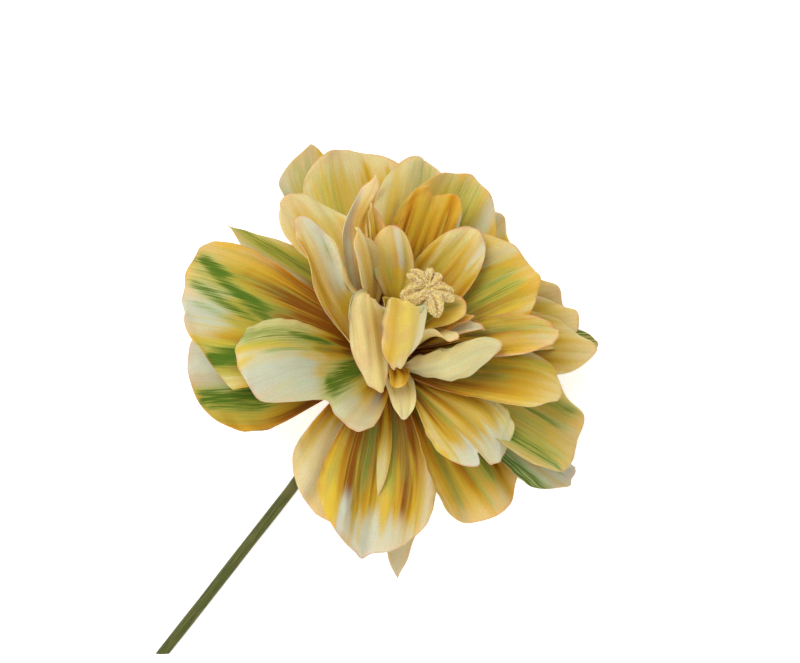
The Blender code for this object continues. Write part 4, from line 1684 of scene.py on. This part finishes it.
MIDDLE_PETALS = (
    Petal("middle_amber",
          Shape((23, 41.5, 38), 15, 50, 20, (40, 20), ribs=(0.5, 3), rolled=(-70, 0),
                outline=((-1.0, 0.80), (-0.85, 0.92), (-0.55, 1.0), (-0.15, 0.97), (0.12, 0.93), (0.5, 1.0),
                         (0.85, 0.93), (1.0, 0.80)), jag=0.006),
          Paint((0.4, 1.0), 0.56, pale=0.14, veins=0.6, streaks=(
              amber(-0.15, -0.12, 0.06, 0.2, 0.9, 0.62), amber(0.25, 0.28, 0.05, 0.2, 0.85, 0.60),
              white(-0.95, -0.95, 0.14, 0.3, 0.95, 0.85), yellow(0.05, 0.08, 0.10, 0.4, 0.95, 0.6),
              yellow(0.50, 0.50, 0.12, 0.3, 0.95, 0.6), yellow(-0.45, -0.45, 0.08, 0.3, 0.9, 0.5)))),
    Petal("middle_pale",
          Shape((-3, 34, 38), 25, 60, 20, jag=0.003),
          Paint((0.2, 0.9), 0.32, rim=0.8, streaks=(
              white(-0.5, -0.5, 0.3, 0.75, 1.1, 0.5), green(0.2, 0.2, 0.4, 0.4, 0.9, 0.3)))),
    Petal("middle_fan",
          Shape((-34, 44, 35), 35, 70, 40, (40, 20), (0.3, 2.0), ribs=(0.4, 6), sides=(0.75, 1.0)),
          Paint((0.2, 0.85), 0.54, fingers=0.2, pale=0.30, veins=0.7, streaks=(
              amber(-0.85, -0.88, 0.10, 0.1, 0.97, 0.64), green(0.0, 0.0, 0.6, 0.2, 0.9, 0.52),
              white(0.55, 0.55, 0.16, 0.70, 1.0, 0.5), white(0.15, 0.15, 0.05, 0.7, 1.0, 0.35),
              amber(0.80, 0.82, 0.12, 0.1, 0.6, 0.5), yellow(0.30, 0.32, 0.05, 0.4, 0.95, 0.45),
              amber(-0.30, -0.32, 0.04, 0.4, 0.92, 0.55), yellow(-0.55, -0.58, 0.05, 0.3, 0.9, 0.5)))),
    Petal("middle_fold",
          Shape((-64, 47, 37.5), 45, 75, 20, (40, 20), (0.3, 2.0), sides=(1.0, 0.6), ribs=(0.8, 5)),
          Paint((0.2, 0.9), 0.46, rim=1.0, streaks=(
              white(0.0, 0.0, 0.4, 0.80, 1.0, 0.4), green(0.3, 0.3, 0.5, 0.3, 0.95, 0.48)))),
    Petal("middle_silver",
          Shape((-84, 30, 36), 50, 80, 17, (60, 60), neck=0.3, end=(0.4, 2.0), root_turn=-120,
                over=(-120, 21, 27), turned=(-40, -50), ribs=(0.35, 3), ruffle=(1.8, 5), sides=(0.6, 1.0),
                skew=-0.05, jag=0.003),
          # the wide faint green streak darkens the whole blade: painted shade
          Paint((0.1, 0.6), 0.42, veins=0.7, rim=0.6, streaks=(
              white(0.1, 0.1, 1.2, 0.25, 1.1, 0.66), green(0.0, 0.0, 1.2, 0.1, 1.1, 0.27)))),
    Petal("middle_tongue",
          Shape((-74, 57, 19), 65, 95, 26, (40, 20), (0.35, 2.0), neck=0.4, root_turn=-95),
          Paint((0.25, 0.95), 0.46, veins=0.5, pale=0.34, streaks=(
              yellow(0.55, 0.55, 0.2, 0.70, 1.1, 0.7), white(0.85, 0.85, 0.15, 0.6, 0.95, 0.5),
              yellow(-0.7, -0.7, 0.12, 0.3, 0.85, 0.5), green(0.1, 0.1, 0.5, 0.1, 0.7, 0.48),
              green(0.55, 0.60, 0.06, 0.3, 0.9, 0.5)))),
    Petal("middle_notched",
          Shape((-106.5, 53, 7), 75, 125, 33, (50, 0), (0.25, 2.0), neck=0.25, fill=2.8, root_turn=-115,
                skew=0.1, cuts=((0.10, -0.25, 0.07),), jag=0.004),
          Paint((0.15, 0.72), 0.24, fingers=0.22, pale=0.32, veins=0.7, rim=0.6, streaks=(
              amber(0.0, 0.0, 0.07, 0.2, 0.75, 0.42), green(-0.3, -0.3, 0.20, 0.1, 0.65, 0.50),
              white(-0.40, -0.40, 0.26, 0.74, 1.05, 0.85), yellow(-0.92, -0.92, 0.09, 0.66, 0.95, 1.0),
              yellow(0.3, 0.35, 0.04, 0.4, 0.9, 0.6), yellow(-0.15, -0.2, 0.03, 0.4, 0.9, 0.6),
              white(0.35, 0.35, 0.5, 0.78, 1.05, 0.75)))),
    Petal("middle_upper_left",
          Shape((78, 55.5, 21.5), 25, 80, 31, (40, 20), (0.3, 2.3), root_turn=95, skew=0.03,
                sides=(1.0, 1.1)),
          Paint((0.15, 0.75), 0.24, veins=0.25, streaks=(yellow(-0.3, -0.3, 0.3, 0.2, 0.8, 0.35),))),
    Petal("middle_rolled",
          Shape((94, 47, 33), 40, 85, 20, (50, 10), (0.5, 1.6), neck=0.6, fill=0.8, root_turn=140,
                over=(117, 25, 24), turned=(-30, 10), ruffle=(2, 1.3), rolled=(200, 0), roll_start=0.3,
                sides=(1.35, 1.0)),
          Paint((0.1, 0.45), 0.20, rim=1.0, veins=0.2, streaks=(
              yellow(-0.1, 0.0, 0.9, 0.1, 0.50, 0.75), amber(0.50, 0.55, 0.34, 0.50, 0.90, 0.60),
              white(-0.40, -0.30, 0.36, 0.5, 1.0, 0.85), green(-0.35, -0.30, 0.10, 0.72, 0.86, 0.45)))),
)

INNER_PETALS = (
    Petal("inner_hood",
          Shape((61, 40, 48), 25, 45, 14, (10, 0), (0.5, 1.3), root_turn=105, over=(72, 31, 32),
                turned=(-20, -20), sides=(0.6, 1.0)),
          # the white streak on the side above 0 is a painted highlight along the lit, turned-up margin
          Paint((0.1, 0.5), 0.24, rim=1.0, veins=0.3, streaks=(
              white(0.70, 0.70, 0.40, 0.3, 1.1, 0.95), yellow(-0.5, -0.5, 0.4, 0.3, 0.9, 0.7)))),
    Petal("inner_nook",
          Shape((64, 35, 40), 15, 50, 15, (70, 30), (0.35, 2.0), neck=0.1, fill=8.0, root_turn=90,
                sides=(0.6, 1.0)),
          Paint((0.5, 0.9), 0.42, rim=1.0, streaks=(yellow(0.0, 0.0, 0.6, 0.75, 1.0, 0.7),))),
    Petal("inner_left",
          Shape((94, 30, 47), 25, 50, 20, (60, 20), (0.45, 1.7), fill=4.0, root_turn=140, over=(96, 18, 32),
                turned=(-30, 0), sides=(0.82, 1.0), jag=0.003),
          Paint((0.1, 0.5), 0.14, pale=0.08, rim=0.9, veins=0.3, streaks=(
              yellow(0.3, 0.3, 0.3, 0.3, 0.8, 0.4),))),
    Petal("inner_striped",
          Shape((66, 24, 44), 25, 55, 19, (60, 20), (0.3, 2.0), fill=5.0, root_turn=40, over=(53, 10, 25),
                turned=(-20, 10), sides=(0.6, 0.85), jag=0.003),
          Paint((0.1, 0.55), 0.20, pale=0.12, rim=0.9, veins=0.4, streaks=(
              white(-0.25, -0.25, 0.18, 0.5, 1.0, 0.75), green(-0.55, -0.55, 0.14, 0.4, 0.97, 0.40),
              green(0.35, 0.35, 0.18, 0.5, 0.97, 0.36), yellow(0.0, 0.0, 0.8, 0.2, 0.70, 0.9)))),
    Petal("inner_hanging",
          Shape((-165, 28, 20), 10, 132, 20, (5, -30), (0.36, 1.9), fill=60.0, root_turn=170,
                over=(141, 21, 42), veer=37, sides=(0.85, 1.0), sway=0.5),
          Paint((0.0, 0.45), 0.12, pale=0.05, rim=1.0, veins=0.35, streaks=(
              white(0.1, 0.2, 0.5, 0.5, 1.1, 0.15), yellow(0.5, 0.6, 0.25, 0.3, 0.9, 0.35)))),
    Petal("inner_front",
          Shape((-158, 22, 27), 0, 150, 21, (5, -35), (0.3, 1.9), fill=75.0, root_turn=-170,
                over=(170, 14, 49), sides=(1.0, 0.8), sway=0.5),
          Paint((0.0, 0.3), 0.16, pale=0.1, rim=1.0, veins=0.4, streaks=(
              amber(-0.70, -0.60, 0.26, 0.4, 0.97, 0.50), yellow(-0.2, -0.15, 0.5, 0.3, 0.95, 0.65),
              white(0.60, 0.65, 0.40, 0.66, 1.05, 0.45)))),
    Petal("inner_dark",
          Shape((-66, 15, 38), 15, 60, 16, (60, 40)),
          Paint((0.3, 0.8), 0.56, rim=0.8, streaks=(
              green(0.3, 0.3, 0.4, 0.3, 0.95, 0.50), yellow(-0.5, -0.5, 0.3, 0.3, 1.0, 0.6)))),
    Petal("inner_orange",
          Shape((-67, 19, 35), 25, 60, 9, (60, 40), (0.5, 1.3)),
          Paint((0.5, 1.1), 0.62, rim=1.0, streaks=(green(0.5, 0.5, 0.3, 0.5, 0.9, 0.3),))),
    Petal("inner_pink",
          Shape((-70, 24, 33), 30, 65, 8, (60, 40), (0.5, 1.5)),
          Paint((0.3, 0.8), 0.30, rim=1.0, streaks=(white(0.0, 0.0, 0.6, 0.6, 1.0, 0.7),))),
    Petal("inner_cream",
          Shape((-104, 18, 36), 25, 70, 10, (60, 60), (0.5, 1.5), turned=(-10, -10)),
          Paint((0.2, 0.6), 0.24, rim=1.0)),
    Petal("inner_low_pale",
          Shape((-143, 31, 12), 60, 120, 10, (50, 30), (0.45, 2.0), jag=0.003),
          Paint((0.1, 0.5), 0.05, pale=0.1, veins=0.1)),
    Petal("inner_low_orange",
          Shape((-153, 24, 19), 50, 110, 10, (50, 30), (0.45, 2.0)),
          Paint((0.6, 1.2), 0.62)),
    Petal("inner_golden",
          Shape((95, 9, 26), 5, 30, 10, (60, 40), (0.5, 1.2)),
          Paint((0.5, 1.1), 0.60)),
)


@dataclass
class Bloom:
    """Every petal of the bloom, ring by ring, and the receptacle under them."""

    rings: tuple[tuple[Whorl, tuple[Petal, ...]], ...] = (
        (Whorl.GUARD, GUARD_PETALS), (Whorl.OUTER, OUTER_PETALS), (Whorl.MIDDLE, MIDDLE_PETALS),
        (Whorl.INNER, INNER_PETALS))
    receptacle: Receptacle = field(default_factory=Receptacle)
    first_seed: int = 3
    seed_step: int = 7

    def build(self, lie: Lie, skin: bpy.types.Material,
              flesh: bpy.types.Material) -> list[bpy.types.Object]:
        """Make the petals and the receptacle.

        Args:
            lie: How the flower lies.
            skin: The petals' material.
            flesh: The receptacle's material.

        Returns:
            The pieces.
        """
        pieces = []
        for whorl, petals in self.rings:
            for petal in petals:
                petal.whorl = whorl
                petal.seed = self.first_seed + self.seed_step * len(pieces)
                pieces.append(petal.build(lie, skin))
            LOG.info("built %d petals, the last one %s", len(petals), petals[-1].name)
        pieces.append(self.receptacle.build(lie, flesh))
        return pieces


@dataclass(frozen=True)
class Lamp:
    """One square soft light that faces the flower, in metres and watts."""

    name: str
    place: Triple
    size: float
    power: float

    def hang(self) -> None:
        """Put the light in the scene."""
        lamp = bpy.data.lights.new(self.name, "AREA")
        lamp.shape = "SQUARE"
        lamp.size = self.size
        lamp.energy = self.power
        held = linked(self.name, lamp)
        held.location = self.place
        held.rotation_euler = (-Vector(self.place)).to_track_quat("-Z", "Y").to_euler()


@dataclass
class Studio:
    """The table, the soft lights and the camera straight above."""

    table_reach: float = 3.0    # from its middle to its sides, in metres
    camera_place: Triple = (8.58, 22.70, 945.0)
    image_width: int = 800
    focal_pixels: float = 2812.0
    sensor_width: float = 36.0
    nearest: float = 0.01       # what is nearer to the camera isn't drawn, in metres
    lamps: tuple[Lamp, ...] = (Lamp("key", (-0.50, 0.60, 1.50), 0.9, 15.5),
                               Lamp("fill", (-0.2, -1.3, 0.9), 1.2, 7.75))
    sky: float = 0.60

    def build(self, finish: bpy.types.Material) -> None:
        """Set up the table, the camera and the lights.

        Args:
            finish: The table's material.
        """
        reach = self.table_reach
        mesh = bpy.data.meshes.new("table")
        mesh.from_pydata([(-reach, -reach, 0), (reach, -reach, 0), (reach, reach, 0), (-reach, reach, 0)],
                         [], [(0, 1, 2, 3)])
        table = placed(mesh, finish)
        camera = bpy.data.cameras.new("camera")
        camera.sensor_width = self.sensor_width
        camera.lens = self.focal_pixels / self.image_width * camera.sensor_width
        camera.clip_start = self.nearest
        held = linked("camera", camera)
        held.location = Vector(self.camera_place) * MM
        bpy.context.scene.camera = held
        for lamp in self.lamps:
            lamp.hang()
        world = bpy.data.worlds.new("studio")
        world.use_nodes = True
        background = world.node_tree.nodes["Background"]
        background.inputs["Color"].default_value = (1.0, 1.0, 1.0, 1.0)
        background.inputs["Strength"].default_value = self.sky
        bpy.context.scene.world = world
        bpy.context.scene.view_settings.view_transform = "Standard"


def attach(pieces: list[bpy.types.Object], node: str) -> None:
    """Let pieces ride with the flower and stand for one of its solids.

    Args:
        pieces: The finished pieces.
        node: The solid they stand for.
    """
    for piece in pieces:
        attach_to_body(piece, "root")
        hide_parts(node)
        LOG.info("%s stands for %s", piece.name, node)


def main() -> None:
    """Build the dressed flower and its studio in order."""
    logging.basicConfig(level=logging.INFO, format="%(name)s: %(message)s")
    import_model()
    lie = Lie()
    flesh = FleshFinish().build()
    attach(Bloom().build(lie, PetalFinish().build(), flesh), "petals")
    pistil = Pistil()
    pollen = PollenFinish()
    attach([pistil.build_ovary(lie, flesh)], "pistil")
    crown = pistil.build_crown(lie, pollen.build_wax())
    grains = pistil.build_grains(crown, pollen.build_grains())
    attach([crown, grains], "stigma")
    attach([Stem().build(lie, StemFinish().build())], "stem")
    Studio().build(TableFinish().build())


if __name__ == "__main__":
    main()
